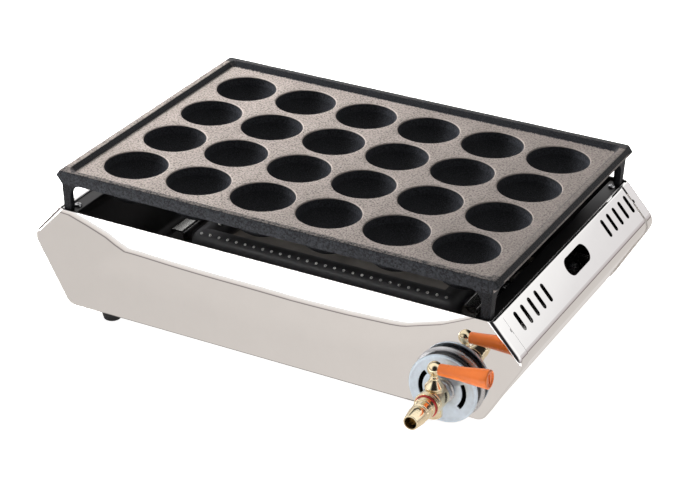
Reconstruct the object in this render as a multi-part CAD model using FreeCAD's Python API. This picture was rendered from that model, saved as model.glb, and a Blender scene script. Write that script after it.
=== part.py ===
"""Gas takoyaki cooker: a cast cooking plate with 24 cups on a folded stainless body.

Frame: X to the right, Y to the back, Z up. X = 0 is the body's middle, Z = 0 is the underside of the feet,
and Y = 0 is midway between the hose nipple's tip and the rear panel. Lengths are in millimetres.
Each function below makes one sub-part about the body's own middle; write_part moves it into the frame.
"""
import FreeCAD, Part
import math
import os

Vector = FreeCAD.Vector
X_AXIS = Vector(1, 0, 0)
Y_AXIS = Vector(0, 1, 0)
Z_AXIS = Vector(0, 0, 1)

# ---- cooking plate ----
cup_columns = 6
cup_rows = 4
cup_pitch = 50.0
cup_radius = 22.0
cup_wall = 2.6
cup_outer_drop = 3.0         # the cups' outside is centred this much lower, so their bottoms are thicker
cup_mouth_chamfer = 0.7
plate_thickness = 4.5
end_border = 37.2            # last cup centre to the rim's outer top edge, along X
side_border = 39.2           # last cup centre to the plate's front face, along Y
rim_width = 4.2
rim_height = 3.5
rim_slope_run = 2.8
rim_bulge = 3.0              # how far the ends stand out below the rim
bulge_drop = 0.7             # widest place, below the cooking surface
skirt_thickness = 4.0
skirt_shoulder_drop = 6.4    # depth at which the slanted end turns into the leg
skirt_shoulder_inset = 4.5   # from the bulge in to the shoulder
leg_taper = 1.2              # from the shoulder in to the leg's foot
leg_height = 26.3
leg_width = 6.0              # along X, seen from the front
leg_depth = 8.0              # along Y, seen from the end
front_band_drop = 5.6        # depth of the band under the cooking surface, front and rear
window_corner_radius = 8.5
recess_corner_radius = 5.0
plate_corner_radius = 1.5

# ---- folded stainless body ----
sheet = 0.7
plate_gap = 0.6              # plate face to the panel's folded hem
leg_gap = 0.6                # plate leg to the step that locates it
lip_width = 3.2              # top lip of the end panel, outside the step
upper_slope_run = 22.7
upper_slope_rise = 25.4
lower_slope_run = 27.5
lower_slope_rise = 49.0
mid_bend_radius = 10.0
bottom_bend_radius = 8.0
fold_radius = 3.0            # edge of the front and rear panels
side_flange_depth = 11.7
hem_height = 8.0
ledge_drop = 1.0             # lip down to the ledge that carries the plate
ledge_width = 10.6
ledge_stiffener = 6.0
lip_bend_radius = 1.4
step_bend_radius = 0.9
ledge_root_radius = 0.07
panel_end_gap = 0.2          # end panel's edge to the fold of the front and rear panels

# ---- openings of the end panels ----
slot_length = 14.0
slot_width = 4.0
slot_pitch = 10.6
slots_per_group = 5
slot_first_offset = 52.0     # ignition hole's centre to the nearest slot
slope_opening_drop = 11.7    # top fold down the slope to the middle of slots and hole
opening_centre_y = 4.0
ignition_hole_length = 35.0
ignition_hole_height = 13.4
round_share = 0.98           # how much of a full half-round a slot's end has
notch_radius = 1.5
notch_drop = 12.5
slope_cut_depth = 2.8

# ---- feet and base ----
foot_height = 10.0
foot_top_radius = 8.5
foot_bottom_radius = 6.0
foot_recess_radius = 4.2
foot_recess_depth = 5.0
foot_inset_x = 26.5          # from the body's bottom corner
foot_inset_y = 14.5          # from the panel's face
foot_flange_margin = 10.0    # sheet left beyond the foot's centre
m4_radius = 2.0
m4_head_radius = 3.7
m4_head_height = 2.4
m4_nut_flats = 7.0
m4_nut_height = 3.0
screw_end = 1.5              # thread that stands past a nut
nut_corner_share = 0.6       # of a nut's corner height, rounded off
screw_crown_share = 0.4      # of a screw head's height, domed
screw_top_share = 0.72       # of its radius, flat on top
base_gap_y = 0.5             # base plate's edge to the panel's fold
base_gap_x = 0.5
base_edge_height = 8.0
bell_clearance = 2.0         # base plate's edge to the bell
shield_end_margin = 10.0     # beyond the burner stands' foot screws
shield_half_width = 86.0
shield_sheet = 0.6
shield_wall = 10.0

# ---- corner brackets under the ledge ----
bracket_sheet = 1.0
corner_bracket_width = 8.0
corner_bracket_reach = 17.0
corner_bracket_gap = 0.9     # clear of the ledge's inner bend
corner_screw_inset = 12.8    # from the panel's face
m3_radius = 1.5
m3_head_radius = 2.6
m3_head_height = 1.6
m3_nut_flats = 5.5
m3_nut_height = 2.2

# ---- burner ----
burner_rise = 6.0            # burner tubes above the tap's axis
burner_joint_gap = 6.4       # burner's end to the inlet's flange
burner_half_width = 34.9
burner_tube_radius = 9.0
tube_wall = 1.5
port_radius = 1.1
long_row_ports = 28
cross_row_ports = 7
port_angle = 60.0            # above the horizontal
inlet_tube_radius = 9.0
burner_lug_gap = 4.0         # cross tube to the bracket's wall
burner_lug_y = 25.0
burner_lug_width = 12.0
burner_lug_thickness = 2.0
lug_screw_gap = 0.4          # screw head to the lug's rib, and to the lug's edge
bracket_half_width = 42.0
bracket_foot = 14.0
bracket_top_flange = 10.0
bracket_lip = 4.0
bracket_top_drop = 2.0       # below the top of the burner tubes
bracket_notch_gap = 0.5      # beside the joint's ears
bracket_bend_radius = 1.8
bracket_screw_y = 32.0
bracket_screw_inset = 8.4    # from the stand's wall to its foot screws
joint_flange_thickness = 3.0
joint_flange_radius = 12.5
joint_ear_radius = 5.0
joint_bolt_offset = 15.5
joint_gasket_thickness = 0.6
elbow_radius = 17.0

# ---- air intake at the front panel ----
tap_inset = 23.5             # from the body's bottom corner
bell_nut_gap = 0.92          # bell's cone over the foot's nut
bell_radius = 22.0
bell_hole_gap = 1.0
bell_reach = 9.1             # bell's face in front of the panel
bell_straight = 10.4
bell_taper = 28.0
air_slot_radius = 15.4
air_slot_width = 3.0
air_slot_start = -40.0
air_slot_end = 28.0
shutter_radius = 24.0
shutter_sheet = 0.8
shutter_rim = 2.0
shutter_edge_round = 0.3
washer_thickness = 1.2
washer_radius = 8.0
disc_spring_height = 1.9
disc_spring_sheet = 0.6
disc_spring_radius = 8.9
shutter_nut_flats = 15.0
shutter_nut_height = 3.0
seat_gap = 0.1               # between a turning face and what it rests on

# ---- gas tap ----
spigot_radius = 5.0
running_gap = 0.05
spigot_nut_flats = 14.0
spigot_nut_height = 4.0
gas_bore_radius = 2.5
lever_axis_reach = 22.8      # in front of the panel
barrel_radius = 8.3
barrel_gap = 0.4             # shutter nut to the tap's shoulder
inlet_collar_radius = 8.7
inlet_collar_length = 2.6
barrel_front = 32.2          # tap's inlet face, in front of the panel
inlet_spigot_radius = 6.0
inlet_spigot_length = 5.4
inlet_bore_radius = 3.0
barrel_flat_margin = 0.6     # of the barrel's flat beyond the lever's skirt
chamber_radius = 5.9
chamber_top = 7.6
chamber_bottom = 11.0
plug_radius = 4.5
plug_bottom = 6.0
plug_drive_width = 4.6
plug_drive_height = 3.6
plug_spring_gap = 0.2
plug_spring_height = 2.0
plug_spring_wide = 3.8
plug_spring_narrow = 1.8
plug_cap_head_radius = 5.9
plug_cap_head_height = 1.5
plug_cap_slot_width = 1.2
lever_gap = 0.3
skirt_radius = 6.2
skirt_land = 1.6
neck_radius = 2.6
neck_start = 7.2             # above the lever's underside
neck_flare_start = 5.2
neck_flare_radius = 3.4
neck_into_ball = 4.0         # below the ball's centre
ball_radius = 5.0
ball_height = 21.8           # above the tap's axis
lever_rod_radius = 1.6
lever_rod_length = 31.0
lever_tilt = 4.5
grip_start = 3.0
grip_end = 38.0
grip_small_radius = 3.8
grip_middle = 16.4           # from its start to where its flare slackens
grip_middle_radius = 5.05
grip_large_radius = 6.3
grip_end_round = 0.9
grip_slit_width = 2.2
grip_slit_length = 7.5
grip_slit_depth = 1.5

# ---- hose nipple ----
nipple_reach = 56.0          # tip in front of the panel
nipple_tip_radius = 5.0
nipple_bore_radius = 4.1
nipple_tip_round = 0.35
nipple_ridge_radius = 6.35
nipple_ridge_start = 8.6
nipple_ridge_end = 10.2      # from the tip, as are the next four
nipple_groove_radius = 5.75
nipple_groove_end = 12.4
nipple_sleeve_radius = 6.45
nipple_shoulder_radius = 7.1
nipple_shoulder_start = 17.8
nipple_rear_collar = 1.4
red_ring_radius = 7.8
red_ring_width = 1.0
red_ring_round = 0.3
nipple_gasket_thickness = 0.5
nozzle_hex_flats = 9.0
nozzle_hex_length = 4.0
nozzle_shank = 4.0
nozzle_cone = 4.0
nozzle_cone_radius = 4.0
nozzle_tip_radius = 1.6
nozzle_orifice_radius = 0.5

# ---- worked out from the sizes above ----
half_columns = (cup_columns - 1) / 2.0
half_rows = (cup_rows - 1) / 2.0
rim_half_length = half_columns * cup_pitch + end_border
plate_half_width = half_rows * cup_pitch + side_border
bulge_half_length = rim_half_length + rim_bulge
shoulder_half_length = bulge_half_length - skirt_shoulder_inset
leg_half_length = shoulder_half_length - leg_taper
cup_outer_radius = cup_radius + cup_wall

panel_inner_y = plate_half_width + plate_gap + sheet      # inner face of the front and rear panels
panel_y = panel_inner_y + sheet                           # their outer face
end_panel_half_depth = panel_y - fold_radius - panel_end_gap
step_x = leg_half_length + leg_gap
top_half_length = step_x + lip_width
mid_half_length = top_half_length + upper_slope_run
bottom_half_length = mid_half_length - lower_slope_run
body_bottom = foot_height
body_mid = body_bottom + lower_slope_rise
body_top = body_mid + upper_slope_rise
lip_top = body_top - sheet
ledge_top = lip_top - ledge_drop
cooking_height = ledge_top + leg_height
ledge_inner_x = step_x - ledge_width

foot_x = bottom_half_length - foot_inset_x
foot_y = panel_y - foot_inset_y
base_bottom = body_bottom + 2 * sheet
base_top = base_bottom + sheet
shield_top = base_top + shield_sheet
corner_screw_y = panel_y - corner_screw_inset
corner_bracket_x = ledge_inner_x + sheet + corner_bracket_gap
corner_screw_x = corner_bracket_x + corner_bracket_width / 2.0
corner_bracket_top = ledge_top - sheet

tap_x = bottom_half_length - tap_inset
joint_face_x = tap_x - elbow_radius                       # where the elbow's straight end begins
gasket_x = joint_face_x - joint_flange_thickness - joint_gasket_thickness
inlet_flange_x = gasket_x - joint_flange_thickness
nut_into_cone = panel_y + bell_reach - bell_straight - foot_y - m4_nut_flats / 2.0
cone_over_nut = bell_radius - (bell_radius - inlet_tube_radius) * nut_into_cone / bell_taper
tap_height = base_top + m4_nut_height + bell_nut_gap + cone_over_nut
burner_height = tap_height + burner_rise
burner_outer_x = inlet_flange_x - burner_joint_gap
burner_half_length = burner_outer_x - burner_tube_radius
port_pitch = 2 * burner_half_length / (long_row_ports - 1)    # a row runs from corner to corner
bracket_wall_x = burner_outer_x + burner_lug_gap          # inner face of the bracket's wall
bracket_top = burner_height + burner_tube_radius - bracket_top_drop
bracket_screw_x = bracket_wall_x + bracket_sheet + bracket_screw_inset
shield_half_length = bracket_screw_x + shield_end_margin

shutter_back = bell_reach + washer_thickness
shutter_face = shutter_back + shutter_sheet
shutter_nut_back = shutter_face + seat_gap + disc_spring_height
shutter_nut_face = shutter_nut_back + shutter_nut_height
barrel_back = shutter_nut_face + barrel_gap
bell_wall_back = bell_reach - tube_wall
spigot_end = bell_wall_back - spigot_nut_height - screw_end
lever_base = chamber_top + lever_gap
nipple_back = barrel_front
nipple_length = nipple_reach - nipple_back
red_ring_back = nipple_length - nipple_rear_collar        # from the tip
red_ring_front = red_ring_back - red_ring_width
frame_shift_y = nipple_reach / 2.0
same_place = 1e-6            # two faces nearer than this lie in one plane


def front(distance):
    """Y of a point that lies this far in front of the front panel's face."""
    return -(panel_y + distance)


# ---- helpers ----
def write_part(name, shape):
    """Move a finished sub-part from the body's middle into the frame and write it."""
    placed = shape.copy()
    placed.translate(Vector(0, frame_shift_y, 0))
    placed.exportStep("parts/" + name + ".step")


def box(x0, x1, y0, y1, z0, z1):
    return Part.makeBox(x1 - x0, y1 - y0, z1 - z0, Vector(x0, y0, z0))


def cylinder(radius, start, direction, length):
    return Part.makeCylinder(radius, length, start, direction)


def mirror_x(shape):
    return shape.mirror(Vector(0, 0, 0), X_AXIS)


def mirror_y(shape):
    return shape.mirror(Vector(0, 0, 0), Y_AXIS)


def four_corners(shape):
    """The shape and its mirror images left to right and front to back."""
    right = [shape, mirror_y(shape)]
    return right + [mirror_x(item) for item in right]


def rounded_path(points, radii, place):
    """Edges along 2-D points, with an arc of the given radius at each inner point; place maps to 3-D."""
    edges = []
    start = points[0]
    for index in range(1, len(points) - 1):
        corner = points[index]
        before = unit(corner, points[index - 1])
        after = unit(corner, points[index + 1])
        turn = math.acos(max(-1.0, min(1.0, before[0] * after[0] + before[1] * after[1])))
        radius = radii[index - 1]
        if radius <= 0:
            edges.append(Part.makeLine(place(*start), place(*corner)))
            start = corner
            continue
        back = radius / math.tan(turn / 2.0)
        enter = (corner[0] + before[0] * back, corner[1] + before[1] * back)
        leave = (corner[0] + after[0] * back, corner[1] + after[1] * back)
        middle = unit((0, 0), (before[0] + after[0], before[1] + after[1]))
        deep = radius / math.sin(turn / 2.0) - radius
        through = (corner[0] + middle[0] * deep, corner[1] + middle[1] * deep)
        edges.append(Part.makeLine(place(*start), place(*enter)))
        edges.append(Part.Arc(place(*enter), place(*through), place(*leave)).toShape())
        start = leave
    edges.append(Part.makeLine(place(*start), place(*points[-1])))
    return edges


def unit(origin, target):
    dx, dy = target[0] - origin[0], target[1] - origin[1]
    length = math.hypot(dx, dy)
    return dx / length, dy / length


def offset_path(points, distance):
    """The same corners moved to the left of the direction of travel by the distance."""
    moved = []
    for index, point in enumerate(points):
        left = []
        if index > 0:
            step = unit(points[index - 1], point)
            left.append((-step[1], step[0]))
        if index < len(points) - 1:
            step = unit(point, points[index + 1])
            left.append((-step[1], step[0]))
        if len(left) == 1:
            moved.append((point[0] + left[0][0] * distance, point[1] + left[0][1] * distance))
            continue
        share = distance / (1.0 + left[0][0] * left[1][0] + left[0][1] * left[1][1])
        moved.append((point[0] + (left[0][0] + left[1][0]) * share,
                      point[1] + (left[0][1] + left[1][1]) * share))
    return moved


def turn_side(before, corner, after):
    """1 where the path turns left at the corner, -1 where it turns right."""
    cross = ((corner[0] - before[0]) * (after[1] - corner[1])
             - (corner[1] - before[1]) * (after[0] - corner[0]))
    return 1 if cross > 0 else -1


def bent_sheet(points, outer_radii, thickness, y0, y1):
    """A sheet folded along XZ points, which lie on its right-hand face, from y0 to y1."""
    inner = offset_path(points, thickness)
    inner_radii = []
    for index, radius in enumerate(outer_radii):
        side = turn_side(points[index], points[index + 1], points[index + 2])
        inner_radii.append(max(0.0, radius - side * thickness))

    def place(x, z):
        return Vector(x, y0, z)

    edges = rounded_path(points, outer_radii, place)
    edges.append(Part.makeLine(place(*points[-1]), place(*inner[-1])))
    edges += rounded_path(list(reversed(inner)), list(reversed(inner_radii)), place)
    edges.append(Part.makeLine(place(*inner[0]), place(*points[0])))
    face = Part.Face(Part.Wire(Part.__sortEdges__(edges)))
    return face.extrude(Vector(0, y1 - y0, 0))


def closed_profile(points, radii, place):
    """A face inside closed 2-D points, with a radius at every point."""
    looped = [midpoint(points[-1], points[0])] + list(points) + [midpoint(points[-1], points[0])]
    edges = rounded_path(looped, radii, place)
    return Part.Face(Part.Wire(Part.__sortEdges__(edges)))


def midpoint(first, second):
    return (first[0] + second[0]) / 2.0, (first[1] + second[1]) / 2.0


def rounded_rectangle(half_x, half_y, z, radius):
    """A closed wire at height z."""
    corners = [(-half_x, -half_y), (half_x, -half_y), (half_x, half_y), (-half_x, half_y)]
    return closed_profile(corners, [radius] * 4, lambda x, y: Vector(x, y, z)).OuterWire


def turned(profile, base, direction):
    """A solid of revolution from (distance along, radius) points, closed on its axis or as a ring."""
    points = [Vector(radius, 0, along) for along, radius in profile]
    points.append(points[0])
    face = Part.Face(Part.makePolygon(points))
    solid = face.revolve(Vector(0, 0, 0), Z_AXIS, 360)
    turn = FreeCAD.Rotation(Z_AXIS, direction)
    solid.Placement = FreeCAD.Placement(base, turn)
    return solid


def hexagon_prism(flats, height, base, direction, bore):
    """A nut: a hexagon across its flats, with its corners rounded off and a hole through it."""
    reach = flats / math.sqrt(3.0)
    corners = [Vector(reach * math.cos(math.radians(60 * i)), reach * math.sin(math.radians(60 * i)), 0)
               for i in range(7)]
    prism = Part.Face(Part.makePolygon(corners)).extrude(Vector(0, 0, height))
    cut = (reach - flats / 2.0) * nut_corner_share
    dome = turned([(0, 0), (0, reach - cut), (cut, reach), (height - cut, reach), (height, reach - cut),
                   (height, 0)], Vector(0, 0, 0), Z_AXIS)
    nut = prism.common(dome)
    if bore > 0:
        nut = nut.cut(Part.makeCylinder(bore, height))
    nut.Placement = FreeCAD.Placement(base, FreeCAD.Rotation(Z_AXIS, direction))
    return nut


def pan_screw(radius, head_radius, head_height, head_base, direction, length):
    """A pan-head screw: direction runs from the head's seat along the shank."""
    crown = head_height * screw_crown_share
    head = turned([(0, 0), (0, head_radius), (-head_height + crown, head_radius),
                   (-head_height, head_radius * screw_top_share), (-head_height, 0)], head_base, direction)
    shank = cylinder(radius, head_base, direction, length)
    return head.fuse(shank).removeSplitter()


# ---- cooking plate ----
def cup_centres():
    for column in range(cup_columns):
        for row in range(cup_rows):
            yield (column - half_columns) * cup_pitch, (row - half_rows) * cup_pitch


def cooking_plate():
    """One casting: rim, deck, 24 cups, and a skirt cut away to four corner legs."""
    surface = cooking_height
    foot = surface - leg_height
    side = [(rim_half_length, surface + rim_height), (bulge_half_length, surface - bulge_drop),
            (shoulder_half_length, surface - skirt_shoulder_drop), (leg_half_length, foot)]
    outline = side + [(-x, z) for x, z in reversed(side)]
    block = Part.Face(Part.makePolygon([Vector(x, -plate_half_width, z) for x, z in outline + side[:1]]))
    block = block.extrude(Vector(0, 2 * plate_half_width, 0))
    plan = Part.Face(rounded_rectangle(bulge_half_length, plate_half_width, foot, plate_corner_radius))
    block = block.common(plan.extrude(Vector(0, 0, leg_height + rim_height)))

    rim_inner_x = rim_half_length - rim_width
    rim_inner_y = plate_half_width - rim_width
    recess = Part.makeLoft([
        rounded_rectangle(rim_inner_x - rim_slope_run, rim_inner_y - rim_slope_run, surface,
                          recess_corner_radius),
        rounded_rectangle(rim_inner_x, rim_inner_y, surface + rim_height, recess_corner_radius)], True, True)
    block = block.cut(recess)

    deck_bottom = surface - plate_thickness
    slant = skirt_shoulder_inset / (skirt_shoulder_drop - bulge_drop)
    rim_to_deck = (plate_thickness - bulge_drop) * slant
    cavity_side = [(bulge_half_length - rim_to_deck - skirt_thickness, deck_bottom),
                   (shoulder_half_length - skirt_thickness, surface - skirt_shoulder_drop),
                   (leg_half_length - skirt_thickness, foot)]
    cavity = cavity_side + [(-x, z) for x, z in reversed(cavity_side)]
    inner_y = plate_half_width - skirt_thickness
    hollow = Part.Face(Part.makePolygon([Vector(x, -inner_y, z) for x, z in cavity + cavity_side[:1]]))
    block = block.cut(hollow.extrude(Vector(0, 2 * inner_y, 0)))

    window_half = leg_half_length - leg_width
    window_top = surface - front_band_drop
    below = foot - window_corner_radius
    corners = [(-window_half, below), (window_half, below), (window_half, window_top),
               (-window_half, window_top)]
    radii = [0, 0, window_corner_radius, window_corner_radius]
    front_window = closed_profile(corners, radii, lambda x, z: Vector(x, -plate_half_width, z))
    front_window = front_window.extrude(Vector(0, skirt_thickness, 0))
    end_half = plate_half_width - leg_depth
    end_top = surface - skirt_shoulder_drop
    corners = [(-end_half, below), (end_half, below), (end_half, end_top), (-end_half, end_top)]
    end_reach = skirt_thickness + leg_taper + skirt_shoulder_inset
    end_window = closed_profile(corners, radii,
                                lambda y, z: Vector(shoulder_half_length - end_reach, y, z))
    end_window = end_window.extrude(Vector(2 * end_reach, 0, 0))
    block = block.cut([front_window, mirror_y(front_window), end_window, mirror_x(end_window)])

    bowls, hollows = [], []
    for x, y in cup_centres():
        centre = Vector(x, y, surface)
        outer_centre = centre - Z_AXIS * cup_outer_drop
        bowls.append(Part.makeSphere(cup_outer_radius, outer_centre, Z_AXIS, -90, 0, 360))
        hollows.append(Part.makeSphere(cup_radius, centre, Z_AXIS, -90, 0, 360))
        rounded = Vector(x, y, surface - cup_mouth_chamfer)
        hollows.append(Part.makeCone(cup_radius, cup_radius + cup_mouth_chamfer, cup_mouth_chamfer, rounded))
    return block.fuse(bowls).cut(hollows).removeSplitter()


# ---- folded body ----
def body_side(inset):
    """Right-hand side of the body in XZ, from the bottom's middle up to the top corner, moved inwards."""
    points = [(0.0, body_bottom), (bottom_half_length, body_bottom), (mid_half_length, body_mid),
              (top_half_length, body_top)]
    return offset_path(points, inset)


def slope_point(distance, lift):
    """XZ point down the outer face of the right upper slope, raised off it by lift."""
    down = unit((top_half_length, body_top), (mid_half_length, body_mid))
    return (top_half_length + down[0] * distance - down[1] * lift,
            body_top + down[1] * distance + down[0] * lift)


def slope_normal():
    down = unit((top_half_length, body_top), (mid_half_length, body_mid))
    return Vector(-down[1], 0, down[0])


def cap_block(inset, y0, depth, top, round_radius):
    """A prism with the body's end outline, its front edges rounded except the top one."""
    right = body_side(inset)
    down = unit(right[2], right[3])
    raise_by = (top - right[3][1]) / down[1]
    right[3] = (right[3][0] + down[0] * raise_by, top)
    corner_radii = [bottom_bend_radius - inset, mid_bend_radius - inset]
    points = right[1:] + [(-x, z) for x, z in reversed(right[1:])]
    radii = corner_radii + [0, 0] + list(reversed(corner_radii))
    face = closed_profile(points, radii, lambda x, z: Vector(x, y0, z))
    prism = face.extrude(Vector(0, depth, 0))
    rounded = []
    for edge in prism.Edges:
        bounds = edge.BoundBox
        flat_front = abs(bounds.YMin - y0) < same_place and abs(bounds.YMax - y0) < same_place
        along_top = abs(bounds.ZMin - top) < same_place and abs(bounds.ZMax - top) < same_place
        if flat_front and not along_top:
            rounded.append(edge)
    return prism.makeFillet(round_radius, rounded)


def cap_panel():
    """The front or rear panel, drawn at the front: a face with its edges turned back over the ends."""
    y0 = -panel_y
    outer = cap_block(0.0, y0, side_flange_depth, body_top, fold_radius)
    inner = cap_block(sheet, y0 + sheet, side_flange_depth, body_top + fold_radius, fold_radius - sheet)
    panel = outer.cut(inner)
    flange_half = bottom_half_length - bottom_bend_radius - fold_radius
    flange_end = y0 + foot_inset_y + foot_flange_margin
    foot_flange = box(-flange_half, flange_half, y0 + side_flange_depth, flange_end, body_bottom,
                      body_bottom + sheet)
    hem_half = top_half_length - fold_radius
    hem = box(-hem_half, hem_half, y0 + sheet, y0 + 2 * sheet, body_top - hem_height, body_top)
    panel = panel.fuse([foot_flange, hem]).removeSplitter()
    x, z = slope_point(notch_drop, -fold_radius)
    notch = cylinder(notch_radius, Vector(x, y0 + side_flange_depth, z), slope_normal(), 2 * fold_radius)
    holes = [cylinder(m4_radius, Vector(side * foot_x, -foot_y, 0), Z_AXIS, base_top) for side in (-1, 1)]
    return panel.cut([notch, mirror_x(notch)] + holes)


def front_panel():
    hole = cylinder(bell_radius + bell_hole_gap, Vector(tap_x, front(0), tap_height), Y_AXIS, 2 * sheet)
    return cap_panel().cut(hole)


def rear_panel():
    return mirror_y(cap_panel())


def end_panel():
    """Right end: bottom flange, lower slope, upper slope, lip, and the ledge that carries the plate."""
    side = body_side(sheet)
    lip_corner = slope_meets(side, lip_top)
    flange_end = foot_x - foot_flange_margin
    points = [(flange_end, side[0][1]), side[1], side[2], lip_corner, (step_x, lip_top),
              (step_x, ledge_top), (ledge_inner_x, ledge_top), (ledge_inner_x, ledge_top - ledge_stiffener)]
    radii = [bottom_bend_radius - sheet, mid_bend_radius - sheet, lip_bend_radius, step_bend_radius,
             ledge_root_radius, lip_bend_radius]
    panel = bent_sheet(points, radii, sheet, -end_panel_half_depth, end_panel_half_depth)
    tools = [ignition_hole()] + vent_slots()
    for sign in (-1, 1):
        tools.append(cylinder(m4_radius, Vector(foot_x, sign * foot_y, 0), Z_AXIS, base_top))
        tools.append(cylinder(m3_radius, Vector(corner_screw_x, sign * corner_screw_y, ledge_top), -Z_AXIS,
                              2 * sheet))
    return panel.cut(tools)


def slope_meets(side, height):
    """Where the upper slope's line reaches a height."""
    low, high = side[2], side[3]
    share = (height - low[1]) / (high[1] - low[1])
    return low[0] + (high[0] - low[0]) * share, height


def slope_tool(outline_face):
    """A cutter through the upper slope from a face drawn on it."""
    return outline_face.extrude(slope_normal() * -slope_cut_depth)


def on_slope(y, down):
    """3-D point just above the upper slope: y along the body and a distance down from its middle line."""
    x, z = slope_point(slope_opening_drop + down, sheet)
    return Vector(x, y, z)


def slope_slot(y, half_y, half_down, end_radius):
    """A cutter for a slot with rounded ends, centred on the openings' line."""
    corners = [(y - half_y, -half_down), (y + half_y, -half_down), (y + half_y, half_down),
               (y - half_y, half_down)]
    return slope_tool(closed_profile(corners, [end_radius * round_share] * 4, on_slope))


def vent_slots():
    cutters = []
    for sign in (-1, 1):
        for index in range(slots_per_group):
            y = opening_centre_y + sign * (slot_first_offset + index * slot_pitch)
            cutters.append(slope_slot(y, slot_width / 2.0, slot_length / 2.0, slot_width / 2.0))
    return cutters


def ignition_hole():
    """The oblong hole that the burner is lit through."""
    half_height = ignition_hole_height / 2.0
    return slope_slot(opening_centre_y, ignition_hole_length / 2.0, half_height, half_height)


def bottom_plate():
    """The base sheet on the end panels' flanges, its front and rear edges turned up."""
    half_x = bottom_half_length - bottom_bend_radius - base_gap_x
    half_y = panel_y - fold_radius - base_gap_y
    plate = box(-half_x, half_x, -half_y, half_y, base_bottom, base_top)
    edge = box(-half_x, half_x, -half_y, sheet - half_y, base_top, base_top + base_edge_height)
    bell_room = cylinder(bell_radius + bell_clearance, on_tap_axis(0), Y_AXIS, panel_y)
    plate = plate.fuse([edge.cut(bell_room), mirror_y(edge)])
    holes = [cylinder(m4_radius, Vector(x, y, base_bottom), Z_AXIS, sheet)
             for x in (-foot_x, foot_x) for y in (-foot_y, foot_y)]
    return plate.cut(holes + bracket_holes(base_bottom, base_top)).removeSplitter()


def heat_shield():
    """A shallow tray on the base sheet that keeps the burner's heat off the table."""
    outer = box(-shield_half_length, shield_half_length, -shield_half_width, shield_half_width, base_top,
                base_top + shield_wall)
    inner_x = shield_half_length - shield_sheet
    inner_y = shield_half_width - shield_sheet
    inner = box(-inner_x, inner_x, -inner_y, inner_y, shield_top, base_top + shield_wall)
    return outer.cut([inner] + bracket_holes(base_top, shield_top))


def rubber_foot(side_x, side_y):
    centre = Vector(side_x * foot_x, side_y * foot_y, 0)
    foot = Part.makeCone(foot_bottom_radius, foot_top_radius, foot_height, centre)
    recess = cylinder(foot_recess_radius, centre, Z_AXIS, foot_recess_depth)
    hole = cylinder(m4_radius, centre, Z_AXIS, foot_height)
    return foot.cut([recess, hole])


def foot_screws():
    length = base_top + m4_nut_height + screw_end - foot_recess_depth
    screw = pan_screw(m4_radius, m4_head_radius, m4_head_height, Vector(foot_x, foot_y, foot_recess_depth),
                      Z_AXIS, length)
    return Part.makeCompound(four_corners(screw))


def foot_nuts():
    nut = hexagon_prism(m4_nut_flats, m4_nut_height, Vector(foot_x, foot_y, base_top), Z_AXIS, m4_radius)
    return Part.makeCompound(four_corners(nut))


def corner_brackets():
    """Small angles that tie each end panel's ledge to the hems of the front and rear panels."""
    x0, x1 = corner_bracket_x, corner_bracket_x + corner_bracket_width
    y0 = panel_inner_y - sheet
    shelf = box(x0, x1, y0 - corner_bracket_reach, y0, corner_bracket_top - bracket_sheet, corner_bracket_top)
    wall = box(x0, x1, y0 - bracket_sheet, y0, body_top - hem_height, corner_bracket_top)
    hole = cylinder(m3_radius, Vector(corner_screw_x, corner_screw_y, corner_bracket_top), -Z_AXIS,
                    bracket_sheet)
    return Part.makeCompound(four_corners(shelf.fuse(wall).removeSplitter().cut(hole)))


def corner_screws():
    """Each head lies on the ledge, clear of the plate's leg."""
    screw = pan_screw(m3_radius, m3_head_radius, m3_head_height,
                      Vector(corner_screw_x, corner_screw_y, ledge_top), -Z_AXIS,
                      sheet + bracket_sheet + m3_nut_height + screw_end)
    return Part.makeCompound(four_corners(screw))


def corner_nuts():
    nut = hexagon_prism(m3_nut_flats, m3_nut_height,
                        Vector(corner_screw_x, corner_screw_y, corner_bracket_top - bracket_sheet),
                        -Z_AXIS, m3_radius)
    return Part.makeCompound(four_corners(nut))


# ---- burner ----
def tube_ring(radius):
    """A rectangle of round tube with ball corners."""
    pieces = []
    for sign in (-1, 1):
        pieces.append(cylinder(radius, Vector(-burner_half_length, sign * burner_half_width, burner_height),
                               X_AXIS, 2 * burner_half_length))
        pieces.append(cylinder(radius, Vector(sign * burner_half_length, -burner_half_width, burner_height),
                               Y_AXIS, 2 * burner_half_width))
        for end in (-1, 1):
            pieces.append(Part.makeSphere(radius, Vector(end * burner_half_length, sign * burner_half_width,
                                                         burner_height)))
    return pieces[0].fuse(pieces[1:])


def port(centre, outwards):
    """A flame port drilled into a tube's axis, slanting up and outwards."""
    angle = math.radians(port_angle)
    direction = outwards * math.cos(angle) + Z_AXIS * math.sin(angle)
    return cylinder(port_radius, centre, direction, 2 * burner_tube_radius)


def flame_ports():
    ports = []
    for index in range(long_row_ports):
        x = (index - (long_row_ports - 1) / 2.0) * port_pitch
        for sign in (-1, 1):
            centre = Vector(x, sign * burner_half_width, burner_height)
            ports.append(port(centre, Y_AXIS * sign))
    for index in range(cross_row_ports):
        y = (index - (cross_row_ports - 1) / 2.0) * port_pitch
        for sign in (-1, 1):
            centre = Vector(sign * burner_half_length, y, burner_height)
            ports.append(port(centre, X_AXIS * -sign))
    return ports


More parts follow.
